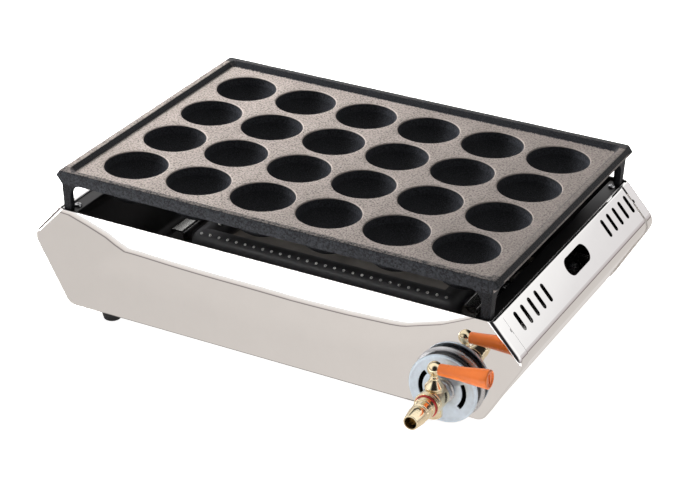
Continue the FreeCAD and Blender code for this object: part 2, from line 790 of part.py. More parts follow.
def burner_lug(sign_x, sign_y):
    y = sign_y * burner_lug_y
    low = lug_screw_height() - m3_head_radius - lug_screw_gap
    plate = box(bracket_wall_x - burner_lug_thickness, bracket_wall_x, y - burner_lug_width / 2.0,
                y + burner_lug_width / 2.0, low, burner_height + burner_lug_thickness)
    rib = box(burner_half_length + burner_tube_radius / 2.0, bracket_wall_x - burner_lug_thickness,
              y - burner_lug_width / 2.0, y + burner_lug_width / 2.0,
              burner_height - burner_lug_thickness, burner_height + burner_lug_thickness)
    lug = plate.fuse(rib)
    return lug if sign_x > 0 else mirror_x(lug)


def joint_flange(x0, bore):
    """A two-bolt flange across X, from x0."""
    middle = Vector(x0, 0, tap_height)
    flange = cylinder(joint_flange_radius, middle, X_AXIS, joint_flange_thickness)
    ears = []
    for sign in (-1, 1):
        ears.append(cylinder(joint_ear_radius, middle + Vector(0, sign * joint_bolt_offset, 0), X_AXIS,
                             joint_flange_thickness))
    web = box(x0, x0 + joint_flange_thickness, -joint_bolt_offset, joint_bolt_offset,
              tap_height - joint_ear_radius, tap_height + joint_ear_radius)
    holes = [cylinder(m4_radius, middle + Vector(0, sign * joint_bolt_offset, 0), X_AXIS,
                      joint_flange_thickness) for sign in (-1, 1)]
    holes.append(cylinder(bore, middle, X_AXIS, joint_flange_thickness))
    return flange.fuse(ears + [web]).removeSplitter(), holes


def burner_ring():
    """The burner: a ring of tube with flame ports, an inlet with its flange, and four lugs."""
    bore = inlet_tube_radius - tube_wall
    flange, holes = joint_flange(inlet_flange_x, bore)
    inlet = cylinder(inlet_tube_radius, Vector(burner_half_length, 0, tap_height), X_AXIS,
                     inlet_flange_x - burner_half_length)
    lugs = [burner_lug(sx, sy) for sx in (-1, 1) for sy in (-1, 1)]
    outer = tube_ring(burner_tube_radius).fuse([inlet, flange] + lugs)
    inlet_bore = cylinder(bore, Vector(burner_half_length, 0, tap_height), X_AXIS,
                          inlet_flange_x - burner_half_length + joint_flange_thickness)
    inner = tube_ring(burner_tube_radius - tube_wall).fuse(inlet_bore)
    ring = outer.cut(inner).cut(flame_ports() + holes + lug_screw_holes())
    return ring.removeSplitter()


def lug_screw_holes():
    reach = burner_lug_thickness + bracket_sheet
    holes = []
    for sign_x in (-1, 1):
        for sign_y in (-1, 1):
            start = Vector(sign_x * (bracket_wall_x - burner_lug_thickness), sign_y * burner_lug_y,
                           lug_screw_height())
            holes.append(cylinder(m3_radius, start, X_AXIS * sign_x, reach))
    return holes


def lug_screw_height():
    """The lug's screw sits in its plate, below the rib."""
    return burner_height - burner_lug_thickness - lug_screw_gap - m3_head_radius


def burner_bracket():
    """The right-hand stand: foot on the shield, wall beside the burner, and a turned-over top."""
    wall = bracket_wall_x + bracket_sheet
    top_end = wall + bracket_top_flange
    points = [(wall + bracket_foot, shield_top + bracket_sheet), (wall, shield_top + bracket_sheet),
              (wall, bracket_top - bracket_sheet), (top_end - bracket_sheet, bracket_top - bracket_sheet),
              (top_end - bracket_sheet, bracket_top - bracket_lip)]
    outer = list(reversed(offset_path(points, bracket_sheet)))
    radii = [bracket_bend_radius, bracket_bend_radius, bracket_bend_radius - bracket_sheet]
    bracket = bent_sheet(outer, radii, bracket_sheet, -bracket_half_width, bracket_half_width)
    return bracket.cut(lug_screw_holes() + bracket_holes(shield_top, shield_top + bracket_sheet))


def bracket_notch():
    """Room in the right-hand stand for the burner's inlet and its flange."""
    half = joint_bolt_offset + joint_ear_radius + bracket_notch_gap
    low = tap_height - joint_flange_radius - bracket_sheet
    return box(burner_outer_x, bracket_wall_x + 2 * bracket_top_flange, -half, half, low,
               bracket_top + bracket_sheet)


def bracket_holes(z0, z1):
    """Screw holes of both stands, through one sheet."""
    return [cylinder(m3_radius, Vector(sx * bracket_screw_x, sy * bracket_screw_y, z0), Z_AXIS, z1 - z0)
            for sx in (-1, 1) for sy in (-1, 1)]


def bracket_screws():
    """From under the base sheet, with their nuts on the stands' feet."""
    length = shield_top + bracket_sheet - base_bottom + m3_nut_height + screw_end
    seat = Vector(bracket_screw_x, bracket_screw_y, base_bottom)
    screw = pan_screw(m3_radius, m3_head_radius, m3_head_height, seat, Z_AXIS, length)
    return Part.makeCompound(four_corners(screw))


def bracket_nuts():
    base = Vector(bracket_screw_x, bracket_screw_y, shield_top + bracket_sheet)
    nut = hexagon_prism(m3_nut_flats, m3_nut_height, base, Z_AXIS, m3_radius)
    return Part.makeCompound(four_corners(nut))


def burner_screws():
    """Along X through each burner lug and its stand."""
    start = Vector(bracket_wall_x - burner_lug_thickness, burner_lug_y, lug_screw_height())
    length = burner_lug_thickness + bracket_sheet + m3_nut_height + screw_end
    screw = pan_screw(m3_radius, m3_head_radius, m3_head_height, start, X_AXIS, length)
    return Part.makeCompound(four_corners(screw))


def burner_nuts():
    start = Vector(bracket_wall_x + bracket_sheet, burner_lug_y, lug_screw_height())
    nut = hexagon_prism(m3_nut_flats, m3_nut_height, start, X_AXIS, m3_radius)
    return Part.makeCompound(four_corners(nut))


def burner_gasket():
    flange, holes = joint_flange(gasket_x, inlet_tube_radius - tube_wall)
    trim = box(gasket_x + joint_gasket_thickness, gasket_x + joint_flange_thickness, -tap_x, tap_x, 0,
               cooking_height)
    return flange.cut(holes + [trim])


def joint_screws():
    """Two screws that pull the mixing tube onto the burner."""
    length = 2 * joint_flange_thickness + joint_gasket_thickness + m4_nut_height + screw_end
    screw = pan_screw(m4_radius, m4_head_radius, m4_head_height,
                      Vector(joint_face_x, joint_bolt_offset, tap_height), -X_AXIS, length)
    return Part.makeCompound([screw, mirror_y(screw)])


def joint_nuts():
    nut = hexagon_prism(m4_nut_flats, m4_nut_height, Vector(inlet_flange_x, joint_bolt_offset, tap_height),
                        -X_AXIS, m4_radius)
    return Part.makeCompound([nut, mirror_y(nut)])


def elbow(radius):
    """A quarter bend from the tube along Y to the flange across X."""
    section = Part.Face(Part.Wire(Part.makeCircle(radius, Vector(tap_x, -elbow_radius, tap_height), Y_AXIS)))
    return section.revolve(Vector(joint_face_x, -elbow_radius, tap_height), Z_AXIS, 90)


def mixing_tube():
    """Bell at the front panel, straight tube back to the burner's middle, and an elbow to its flange."""
    mouth = Vector(tap_x, front(bell_reach), tap_height)
    run_end = panel_y + bell_reach - elbow_radius
    cone_end = bell_straight + bell_taper
    wall = tube_wall
    outer = turned([(0, 0), (0, bell_radius), (bell_straight, bell_radius), (cone_end, inlet_tube_radius),
                    (run_end, inlet_tube_radius), (run_end, 0)], mouth, Y_AXIS)
    inner = turned([(wall, 0), (wall, bell_radius - wall), (bell_straight, bell_radius - wall),
                    (cone_end, inlet_tube_radius - wall), (run_end, inlet_tube_radius - wall),
                    (run_end, 0)], mouth, Y_AXIS)
    flange, holes = joint_flange(joint_face_x - joint_flange_thickness, inlet_tube_radius - wall)
    solid = outer.fuse([elbow(inlet_tube_radius), flange])
    hollow = inner.fuse([elbow(inlet_tube_radius - wall)])
    tools = [hollow, cylinder(spigot_radius, mouth, Y_AXIS, 2 * wall)] + holes + air_slots(bell_reach, wall)
    return solid.cut(tools).removeSplitter()


# ---- air shutter ----
def air_slots(face_reach, depth):
    """Two arc slots about the tap's axis, cut backwards from a face."""
    inner = air_slot_radius - air_slot_width / 2.0
    outer = air_slot_radius + air_slot_width / 2.0
    origin = Vector(0, 0, 0)
    ring = cylinder(outer, origin, Z_AXIS, depth).cut(cylinder(inner, origin, Z_AXIS, depth))
    span = air_slot_end - air_slot_start
    sector = Part.makeCylinder(2 * outer, depth, origin, Z_AXIS, span)
    slots = []
    for turn in (air_slot_start, air_slot_start + 180.0):
        slot = ring.common(sector)
        slot.rotate(origin, Z_AXIS, turn)
        slot.rotate(origin, X_AXIS, 90)
        slot.translate(Vector(tap_x, front(face_reach) + depth, tap_height))
        slots.append(slot)
    return slots


def on_tap_axis(reach):
    return Vector(tap_x, front(reach), tap_height)


def air_shutter():
    """A zinc-plated disc with a rim turned back around the bell, turned by hand to set the air."""
    bore = spigot_radius + running_gap
    turn = shutter_sheet
    edge = shutter_edge_round
    profile = [(0, bore), (0, shutter_radius - turn), (edge, shutter_radius - edge),
               (turn, shutter_radius), (turn + shutter_rim, shutter_radius),
               (turn + shutter_rim, shutter_radius - turn), (turn, shutter_radius - turn), (turn, bore)]
    disc = turned(profile, on_tap_axis(shutter_face), Y_AXIS)
    return disc.cut(air_slots(shutter_face, 2 * shutter_sheet))


def shutter_washer():
    ring = cylinder(washer_radius, on_tap_axis(shutter_back), Y_AXIS, washer_thickness)
    return ring.cut(cylinder(spigot_radius, on_tap_axis(shutter_back), Y_AXIS, washer_thickness))


def shutter_spring():
    """A cone-shaped spring washer that presses the shutter lightly."""
    low, high = spigot_radius, disc_spring_radius
    rise = disc_spring_height - disc_spring_sheet
    profile = [(0, low), (disc_spring_sheet, low), (disc_spring_height, high), (rise, high)]
    return turned(profile, on_tap_axis(shutter_nut_back), Y_AXIS)


def shutter_nut():
    return hexagon_prism(shutter_nut_flats, shutter_nut_height, on_tap_axis(shutter_nut_face), Y_AXIS,
                         spigot_radius)


def spigot_nut():
    """Inside the bell: clamps the tap to the bell's face."""
    return hexagon_prism(spigot_nut_flats, spigot_nut_height, on_tap_axis(bell_wall_back), Y_AXIS,
                         spigot_radius)


# ---- gas tap ----
def tap_body():
    """Barrel with a flat on top, rear spigot, inlet spigot and an upright chamber for the plug."""
    pieces = [
        cylinder(barrel_radius, on_tap_axis(barrel_front), Y_AXIS, barrel_front - barrel_back),
        cylinder(inlet_collar_radius, on_tap_axis(barrel_front), Y_AXIS, inlet_collar_length),
        cylinder(inlet_spigot_radius, on_tap_axis(barrel_front + inlet_spigot_length), Y_AXIS,
                 inlet_spigot_length),
        cylinder(spigot_radius, on_tap_axis(barrel_back), Y_AXIS, barrel_back - spigot_end),
        cylinder(chamber_radius, chamber_point(-chamber_bottom), Z_AXIS, chamber_top + chamber_bottom)]
    bores = [
        cylinder(inlet_bore_radius, on_tap_axis(barrel_front + inlet_spigot_length), Y_AXIS,
                 barrel_front + inlet_spigot_length - lever_axis_reach),
        cylinder(gas_bore_radius, on_tap_axis(lever_axis_reach), Y_AXIS, lever_axis_reach - spigot_end),
        cylinder(plug_radius + running_gap, chamber_point(-chamber_bottom), Z_AXIS,
                 chamber_top + chamber_bottom),
        barrel_flat()]
    return pieces[0].fuse(pieces[1:]).removeSplitter().cut(bores)


def barrel_flat():
    """The flat that the lever's skirt turns over."""
    middle = chamber_point(chamber_top)
    half_length = skirt_radius + barrel_flat_margin
    return box(middle.x - barrel_radius, middle.x + barrel_radius, middle.y - half_length,
               middle.y + half_length, middle.z, middle.z + barrel_radius)


def chamber_point(height):
    """On the lever's upright axis, at a height above the tap's axis."""
    return Vector(tap_x, front(lever_axis_reach), tap_height + height)


def tap_plug():
    """The plug that opens and shuts the gas; its hole lies across the flow while the tap is shut."""
    plug = cylinder(plug_radius, chamber_point(-plug_bottom), Z_AXIS, plug_bottom + chamber_top)
    half = plug_drive_width / 2.0
    base = chamber_point(chamber_top)
    drive = box(base.x - half, base.x + half, base.y - half, base.y + half, base.z,
                base.z + plug_drive_height)
    hole = cylinder(gas_bore_radius, chamber_point(0) - X_AXIS * plug_radius, X_AXIS, 2 * plug_radius)
    return plug.fuse(drive).cut(hole)


def plug_spring():
    """A cone-shaped spring washer under the plug."""
    top = -plug_bottom - plug_spring_gap
    profile = [(-plug_spring_height, plug_spring_wide),
               (-plug_spring_height + disc_spring_sheet, plug_spring_wide), (0, plug_spring_narrow),
               (-disc_spring_sheet, plug_spring_narrow)]
    return turned(profile, chamber_point(top), Z_AXIS)


def plug_cap():
    """The screwed cap that holds the plug's spring from below."""
    top = -plug_bottom - plug_spring_gap - plug_spring_height
    stem = cylinder(plug_radius, chamber_point(-chamber_bottom), Z_AXIS, chamber_bottom + top)
    head = cylinder(plug_cap_head_radius, chamber_point(-chamber_bottom - plug_cap_head_height), Z_AXIS,
                    plug_cap_head_height)
    base = chamber_point(-chamber_bottom - plug_cap_head_height)
    half = plug_cap_slot_width / 2.0
    slot = box(base.x - plug_cap_head_radius, base.x + plug_cap_head_radius, base.y - half, base.y + half,
               base.z, base.z + plug_cap_head_height / 2.0)
    return stem.fuse(head).removeSplitter().cut(slot)


def lever_direction():
    return FreeCAD.Rotation(Y_AXIS, -lever_tilt).multVec(X_AXIS)


def tap_lever():
    """Brass skirt, neck and ball on the plug's square, with the rod that the grip is moulded on."""
    neck_end = ball_height - neck_into_ball - lever_base
    base = chamber_point(lever_base)
    stem = turned([(0, 0), (0, skirt_radius), (skirt_land, skirt_radius),
                   (neck_flare_start, neck_flare_radius),
                   (neck_start, neck_radius), (neck_end, neck_radius), (neck_end, 0)], base, Z_AXIS)
    ball = Part.makeSphere(ball_radius, chamber_point(ball_height))
    rod = cylinder(lever_rod_radius, chamber_point(ball_height), lever_direction(), lever_rod_length)
    half = plug_drive_width / 2.0
    socket = box(base.x - half, base.x + half, base.y - half, base.y + half, base.z,
                 base.z + plug_drive_height - lever_gap)
    return stem.fuse([ball, rod]).cut(socket)


def lever_grip():
    """The orange grip: thin at the ball, thick at its end, with a slit in the end face."""
    length = grip_end - grip_start
    profile = [(0, 0), (0, grip_small_radius), (grip_middle, grip_middle_radius),
               (length - grip_end_round, grip_large_radius)]
    for turn in (60, 30, 0):
        angle = math.radians(turn)
        profile.append((length - grip_end_round * (1 - math.cos(angle)),
                        grip_large_radius - grip_end_round * (1 - math.sin(angle))))
    profile.append((length, 0))
    start = chamber_point(ball_height) + lever_direction() * grip_start
    grip = turned(profile, start, lever_direction())
    ball = Part.makeSphere(ball_radius, chamber_point(ball_height))
    bore = cylinder(lever_rod_radius, chamber_point(ball_height), lever_direction(), lever_rod_length)
    slit = box(grip_end - grip_slit_depth, grip_end, -grip_slit_width / 2.0, grip_slit_width / 2.0,
               -grip_slit_length / 2.0, grip_slit_length / 2.0)
    slit.rotate(Vector(0, 0, 0), Y_AXIS, -lever_tilt)
    slit.translate(chamber_point(ball_height))
    return grip.cut([ball, bore, slit])


def gas_jet():
    """The jet screwed into the tap's rear spigot, blowing into the bell."""
    hexagon = hexagon_prism(nozzle_hex_flats, nozzle_hex_length, on_tap_axis(spigot_end), Y_AXIS, 0)
    nose_start = spigot_end - nozzle_hex_length
    nose = turned([(0, 0), (0, nozzle_cone_radius), (nozzle_cone, nozzle_tip_radius), (nozzle_cone, 0)],
                  on_tap_axis(nose_start), Y_AXIS)
    shank = cylinder(gas_bore_radius, on_tap_axis(spigot_end + nozzle_shank), Y_AXIS, nozzle_shank)
    length = nozzle_shank + nozzle_hex_length + nozzle_cone
    orifice = cylinder(nozzle_orifice_radius, on_tap_axis(spigot_end + nozzle_shank), Y_AXIS, length)
    return hexagon.fuse([nose, shank]).removeSplitter().cut(orifice)


def from_tip(distance):
    return on_tap_axis(nipple_reach - distance)


def hose_nipple():
    """The hose end: tapered tip, ridge, groove, the land a hose grips, shoulder and rear collar."""
    lead = nipple_tip_radius - nipple_bore_radius
    profile = [(0, 0), (0, nipple_tip_radius - nipple_tip_round), (nipple_tip_round, nipple_tip_radius),
               (nipple_ridge_start, nipple_ridge_radius), (nipple_ridge_end, nipple_ridge_radius),
               (nipple_ridge_end + lead, nipple_groove_radius), (nipple_groove_end, nipple_groove_radius),
               (nipple_groove_end + lead, nipple_sleeve_radius),
               (nipple_shoulder_start, nipple_sleeve_radius), (nipple_shoulder_start, nipple_shoulder_radius),
               (red_ring_back, nipple_shoulder_radius), (red_ring_back, inlet_collar_radius),
               (nipple_length, inlet_collar_radius), (nipple_length, 0)]
    nipple = turned(profile, from_tip(0), Y_AXIS)
    bore = cylinder(nipple_bore_radius, from_tip(0), Y_AXIS, nipple_length)
    socket_depth = inlet_spigot_length + nipple_gasket_thickness
    socket = cylinder(inlet_spigot_radius, from_tip(nipple_length - socket_depth), Y_AXIS, socket_depth)
    return nipple.cut([bore, socket])


def hose_stop_ring():
    """The red ring that shows how far the hose is pushed on."""
    edge = red_ring_radius - red_ring_round
    profile = [(0, nipple_shoulder_radius), (0, edge), (red_ring_round, red_ring_radius),
               (red_ring_width - red_ring_round, red_ring_radius), (red_ring_width, edge),
               (red_ring_width, nipple_shoulder_radius)]
    return turned(profile, from_tip(red_ring_front), Y_AXIS)


def nipple_gasket():
    start = nipple_length - inlet_spigot_length - nipple_gasket_thickness
    ring = cylinder(inlet_spigot_radius, from_tip(start), Y_AXIS, nipple_gasket_thickness)
    return ring.cut(cylinder(nipple_bore_radius, from_tip(start), Y_AXIS, nipple_gasket_thickness))


def main():
    os.makedirs("parts", exist_ok=True)
    bracket = burner_bracket()
    right_end = end_panel()
    parts = {
        "cooking_plate": cooking_plate(),
        "front_panel": front_panel(),
        "rear_panel": rear_panel(),
        "right_end_panel": right_end,
        "left_end_panel": mirror_x(right_end),
        "bottom_plate": bottom_plate(),
        "heat_shield": heat_shield(),
        "foot_front_left": rubber_foot(-1, -1),
        "foot_front_right": rubber_foot(1, -1),
        "foot_rear_left": rubber_foot(-1, 1),
        "foot_rear_right": rubber_foot(1, 1),
        "foot_screws": foot_screws(),
        "foot_nuts": foot_nuts(),
        "corner_brackets": corner_brackets(),
        "corner_screws": corner_screws(),
        "corner_nuts": corner_nuts(),
        "burner_ring": burner_ring(),
        "burner_bracket_left": mirror_x(bracket),
        "burner_bracket_right": bracket.cut(bracket_notch()),
        "burner_screws": burner_screws(),
        "burner_nuts": burner_nuts(),
        "bracket_screws": bracket_screws(),
        "bracket_nuts": bracket_nuts(),
        "burner_gasket": burner_gasket(),
        "joint_screws": joint_screws(),
        "joint_nuts": joint_nuts(),
        "mixing_tube": mixing_tube(),
        "spigot_nut": spigot_nut(),
        "gas_jet": gas_jet(),
        "shutter_washer": shutter_washer(),
        "air_shutter": air_shutter(),
        "shutter_spring": shutter_spring(),
        "shutter_nut": shutter_nut(),
        "tap_body": tap_body(),
        "tap_plug": tap_plug(),
        "plug_spring": plug_spring(),
        "plug_cap": plug_cap(),
        "tap_lever": tap_lever(),
        "lever_grip": lever_grip(),
        "hose_nipple": hose_nipple(),
        "hose_stop_ring": hose_stop_ring(),
        "nipple_gasket": nipple_gasket(),
    }
    for name, shape in parts.items():
        write_part(name, shape)


main()
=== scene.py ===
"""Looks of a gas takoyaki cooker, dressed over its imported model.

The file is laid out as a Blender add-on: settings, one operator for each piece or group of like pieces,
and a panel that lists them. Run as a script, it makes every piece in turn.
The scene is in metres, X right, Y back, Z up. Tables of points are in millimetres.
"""
import bmesh
import bpy
import math
from mathutils import Matrix, Vector


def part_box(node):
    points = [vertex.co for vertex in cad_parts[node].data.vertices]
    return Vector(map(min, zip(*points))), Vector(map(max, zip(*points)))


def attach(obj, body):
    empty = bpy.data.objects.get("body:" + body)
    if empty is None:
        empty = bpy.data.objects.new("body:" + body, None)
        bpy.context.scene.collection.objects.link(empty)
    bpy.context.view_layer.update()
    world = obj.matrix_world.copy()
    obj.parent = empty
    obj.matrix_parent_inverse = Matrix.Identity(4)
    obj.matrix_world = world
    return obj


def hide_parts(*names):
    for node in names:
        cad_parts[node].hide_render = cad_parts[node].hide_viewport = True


bl_info = {
    "name": "Takoyaki Cooker Looks",
    "version": (1, 0, 0),
    "blender": (4, 5, 0),
    "location": "View3D > Sidebar > Cooker",
    "description": "Cast plate, polished body, burner, air intake and gas tap of a takoyaki cooker",
    "category": "Add Mesh",
}

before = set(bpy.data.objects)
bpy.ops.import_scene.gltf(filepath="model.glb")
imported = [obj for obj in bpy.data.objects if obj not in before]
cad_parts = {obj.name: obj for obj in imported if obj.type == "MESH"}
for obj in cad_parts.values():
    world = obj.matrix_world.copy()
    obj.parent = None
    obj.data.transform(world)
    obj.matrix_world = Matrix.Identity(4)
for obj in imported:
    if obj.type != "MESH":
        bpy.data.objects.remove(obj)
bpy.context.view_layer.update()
MM = 0.001
RIGHT, BACK, UP = Vector((1, 0, 0)), Vector((0, 1, 0)), Vector((0, 0, 1))
PLATE_LOW, PLATE_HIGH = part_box("cooking_plate")
NIPPLE_LOW, NIPPLE_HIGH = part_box("hose_nipple")
PLATE_MIDDLE = (PLATE_LOW + PLATE_HIGH) / 2
TAP_X = (NIPPLE_LOW.x + NIPPLE_HIGH.x) / 2
TAP_Z = (NIPPLE_LOW.z + NIPPLE_HIGH.z) / 2

# The upright axis that the lever turns about, and its ball's height above the tap's axis, in millimetres.
LEVER_Y, BALL = -111.0, 21.8

# Places on the folded body, in metres, that its finish follows.
BODY_MIDDLE = {"X": 0.0, "Y": 0.028, "Z": 0.045}
FRONT_SEAM, REAR_SEAM = -0.0765, 0.1325
LIP_STEP, STEP_HALF, STEP_HEIGHT = 0.1606, 0.0007, 0.0829
SLOPE_START, END_ZONE, END_ZONE_TOP = 0.1643, 0.1500, 0.0800
NOTCH_X, NOTCH_Z = 0.17155, 0.0760


# ---- settings ----
def number(name, description, default, **more):
    return bpy.props.FloatProperty(name=name, description=description, default=default, **more)


def length(name, description, default):
    return number(name, description, default, min=0.0, precision=5, unit="LENGTH")


def heading(name, description, degrees):
    return number(name, description, math.radians(degrees), subtype="ANGLE")


def count(name, description, default):
    return bpy.props.IntProperty(name=name, description=description, default=default, min=1)


def colour(name, description, default):
    return bpy.props.FloatVectorProperty(name=name, description=description, default=default, size=3,
                                         min=0.0, max=1.0, subtype="COLOR")


class PlateSettings(bpy.types.PropertyGroup):
    columns: count("Cup columns", "Cups along the plate", 6)
    rows: count("Cup rows", "Cups across the plate", 4)
    pitch: length("Cup pitch", "Distance between the centres of two cups", 0.05)
    cup_radius: length("Cup radius", "Inside radius of a cup", 0.022)
    cup_wall: length("Cup wall", "Thickness of a cup's wall", 0.0026)
    cup_drop: length("Cup drop", "How much lower the cups' outside is centred", 0.003)
    deck: length("Deck thickness", "Thickness of the cooking surface", 0.0045)
    rim: length("Rim height", "Rim above the cooking surface", 0.0035)
    softening: length("Softened edges", "Width of the rounding on the casting's edges", 0.0006)
    # Ground iron's taupe with a painted sheen in it: the up faces are lighter partly for the light that they
    # catch.
    ground_and_sheen: colour("Worn iron", "Ground and seasoned top faces", (0.30, 0.262, 0.24))
    seasoned: colour("Seasoned iron", "Cups, skirt and every face left as cast", (0.009, 0.0095, 0.011))


class BodySettings(bpy.types.PropertyGroup):
    steel: colour("Polished steel", "Colour of the folded panels", (0.86, 0.845, 0.83))
    # Heat stain mixed with painted shade, for the inner faces and the ledge under the plate.
    stain_and_shade: colour("Heat stain", "Colour of the panels' inner faces", (0.035, 0.033, 0.034))
    polish: number("Roughness", "Roughness of the polished sheet", 0.006, min=0.0, max=1.0, subtype="FACTOR")
    ripple: length("Ripple", "Height of the sheet's slow ripples", 0.00002)


class BurnerSettings(bpy.types.PropertyGroup):
    port_pitch: length("Port pitch", "Distance between flame ports", 0.0071)
    long_ports: count("Long row", "Flame ports in a long row", 28)
    cross_ports: count("Cross row", "Flame ports in a cross row", 7)
    # The collars' pale colour is a painted glint on the flame ports' rims.
    collar: length("Port collar", "Outer radius of the bright collar round a port", 0.00105)
    iron: colour("Burner tube", "Heat-proof dark tube", (0.035, 0.034, 0.036))


class TapSettings(bpy.types.PropertyGroup):
    brass: colour("Brass", "Turned brass of the tap and the hose nipple", (0.94, 0.80, 0.55))
    zinc: colour("Zinc plate", "Bluish plated disc", (0.62, 0.70, 0.78))
    grip: colour("Grip", "Moulded lever grip", (0.95, 0.205, 0.022))
    ring: colour("Stop ring", "Ring that shows how far a hose is pushed on", (0.55, 0.02, 0.02))


class StageSettings(bpy.types.PropertyGroup):
    azimuth: heading("Azimuth", "Camera's turn round the cooker", 27.4002)
    elevation: heading("Elevation", "Camera above the horizon", 27.573)
    roll: heading("Roll", "Camera's tilt to one side", 0.8221)
    lens: number("Lens", "Focal length in millimetres", 110.76)
    place: bpy.props.FloatVectorProperty(name="Camera place", description="Where the camera stands",
                                         default=(0.619326, -1.163049, 0.748197), subtype="TRANSLATION")
    floor: colour("Floor", "Plain pale floor", (0.93, 0.93, 0.93))
    floor_glow: number("Floor glow", "Light that the lit floor gives back", 0.93)
    daylight: number("Room light", "Strength of the even light", 0.13)
    softbox: number("Softbox", "Power of the light at the back left", 24.0)
    fill: number("Fill", "Power of the light above the front", 1.8)
    gap_light: number("Gap light", "Power of the strip that lights the burner", 0.05)
    card: colour("Card", "Grey paper that the polished panels reflect", (0.70, 0.66, 0.63))


SETTINGS = {"cooker_plate": PlateSettings, "cooker_body": BodySettings, "cooker_burner": BurnerSettings,
            "cooker_tap": TapSettings, "cooker_stage": StageSettings}


# ---- node trees ----
class Socket:
    """A node's output that takes part in sums, so that a pattern reads as one expression."""

    def __init__(self, tree, output):
        self.tree, self.output = tree, output

    def math(self, operation, first, second=0.0, clamp=False):
        return self.tree.node("ShaderNodeMath", {"operation": operation, "use_clamp": clamp},
                              {0: first, 1: second})

    def __add__(self, other):
        return self.math("ADD", self, other)

    def __sub__(self, other):
        return self.math("SUBTRACT", self, other)

    def __mul__(self, other):
        return self.math("MULTIPLY", self, other)

    def __rsub__(self, other):
        return self.math("SUBTRACT", other, self)

    def __gt__(self, other):
        return self.math("GREATER_THAN", self, other)

    def __lt__(self, other):
        return self.math("LESS_THAN", self, other)

    __radd__ = __add__
    __rmul__ = __mul__

    def clamp(self):
        return self.math("ADD", self, 0.0, clamp=True)

    def ramp(self, low, high):
        """0 below low, 1 above high, straight between them."""
        return ((self - low) * (1.0 / (high - low))).clamp()

    def size(self):
        return self.math("ABSOLUTE", self)

    def root(self):
        return self.math("SQRT", self)


class Tree:
    """A node tree under construction. Every node but the sums comes from node()."""

    def __init__(self, tree):
        self.tree = tree

    def node(self, kind, settings=None, inputs=None, output=None):
        made = self.tree.nodes.new(kind)
        for name, value in (settings or {}).items():
            setattr(made, name, value)
        for name, value in (inputs or {}).items():
            target = self.find(made.inputs, name)
            if isinstance(value, Socket):
                self.tree.links.new(value.output, target)
            else:
                target.default_value = value
        if not made.outputs:
            return None
        if output is None:
            source = next(item for item in made.outputs if item.enabled)
        else:
            source = self.find(made.outputs, output)
        return Socket(self, source)

    def find(self, sockets, name):
        if isinstance(name, int):
            return sockets[name]
        for item in sockets:
            if item.identifier == name or (item.enabled and item.name == name):
                return item
        raise KeyError(name)


class Finish(Tree):
    """A material built from the object's own coordinates."""

    def __init__(self, name):
        self.material = bpy.data.materials.new(name)
        self.material.use_nodes = True
        super().__init__(self.material.node_tree)
        self.tree.nodes.clear()
        self.place = self.node("ShaderNodeTexCoord", output="Object")
        self.normal = self.node("ShaderNodeNewGeometry", output="Normal")

    def axis(self, vector, name):
        return self.node("ShaderNodeSeparateXYZ", None, {0: vector}, output=name)

    def axes(self):
        """X, Y and Z of the object's own coordinates."""
        return [self.axis(self.place, name) for name in "XYZ"]

    def noise(self, scale, detail=2.0, rough=0.5, place=None):
        return self.node("ShaderNodeTexNoise", None, {"Vector": place or self.place, "Scale": scale,
                                                      "Detail": detail, "Roughness": rough}, output="Fac")

    def stretched(self, x, y, z):
        return self.node("ShaderNodeMapping", {"vector_type": "POINT"},
                         {"Vector": self.place, "Scale": (x, y, z)})

    def blend(self, share, first, second):
        values = {"Factor_Float": share, "A_Color": self.rgba(first), "B_Color": self.rgba(second)}
        return self.node("ShaderNodeMix", {"data_type": "RGBA"}, values, output="Result_Color")

    def rgba(self, value):
        return value if isinstance(value, Socket) else (*value[:3], 1.0)

    def bump(self, height, distance, strength=1.0):
        return self.node("ShaderNodeBump", None, {"Height": height, "Distance": distance,
                                                  "Strength": strength}, output="Normal")

    def surface(self, **values):
        """The shader and the output; names are the shader's sockets with _ for a blank."""
        inputs = {name.replace("_", " "): value for name, value in values.items()}
        if "Base Color" in inputs:
            inputs["Base Color"] = self.rgba(inputs["Base Color"])
        shader = self.node("ShaderNodeBsdfPrincipled", None, inputs)
        self.node("ShaderNodeOutputMaterial", None, {"Surface": shader})
        return self.material


def tint(base, factor):
    return tuple(min(1.0, channel * factor) for channel in base)


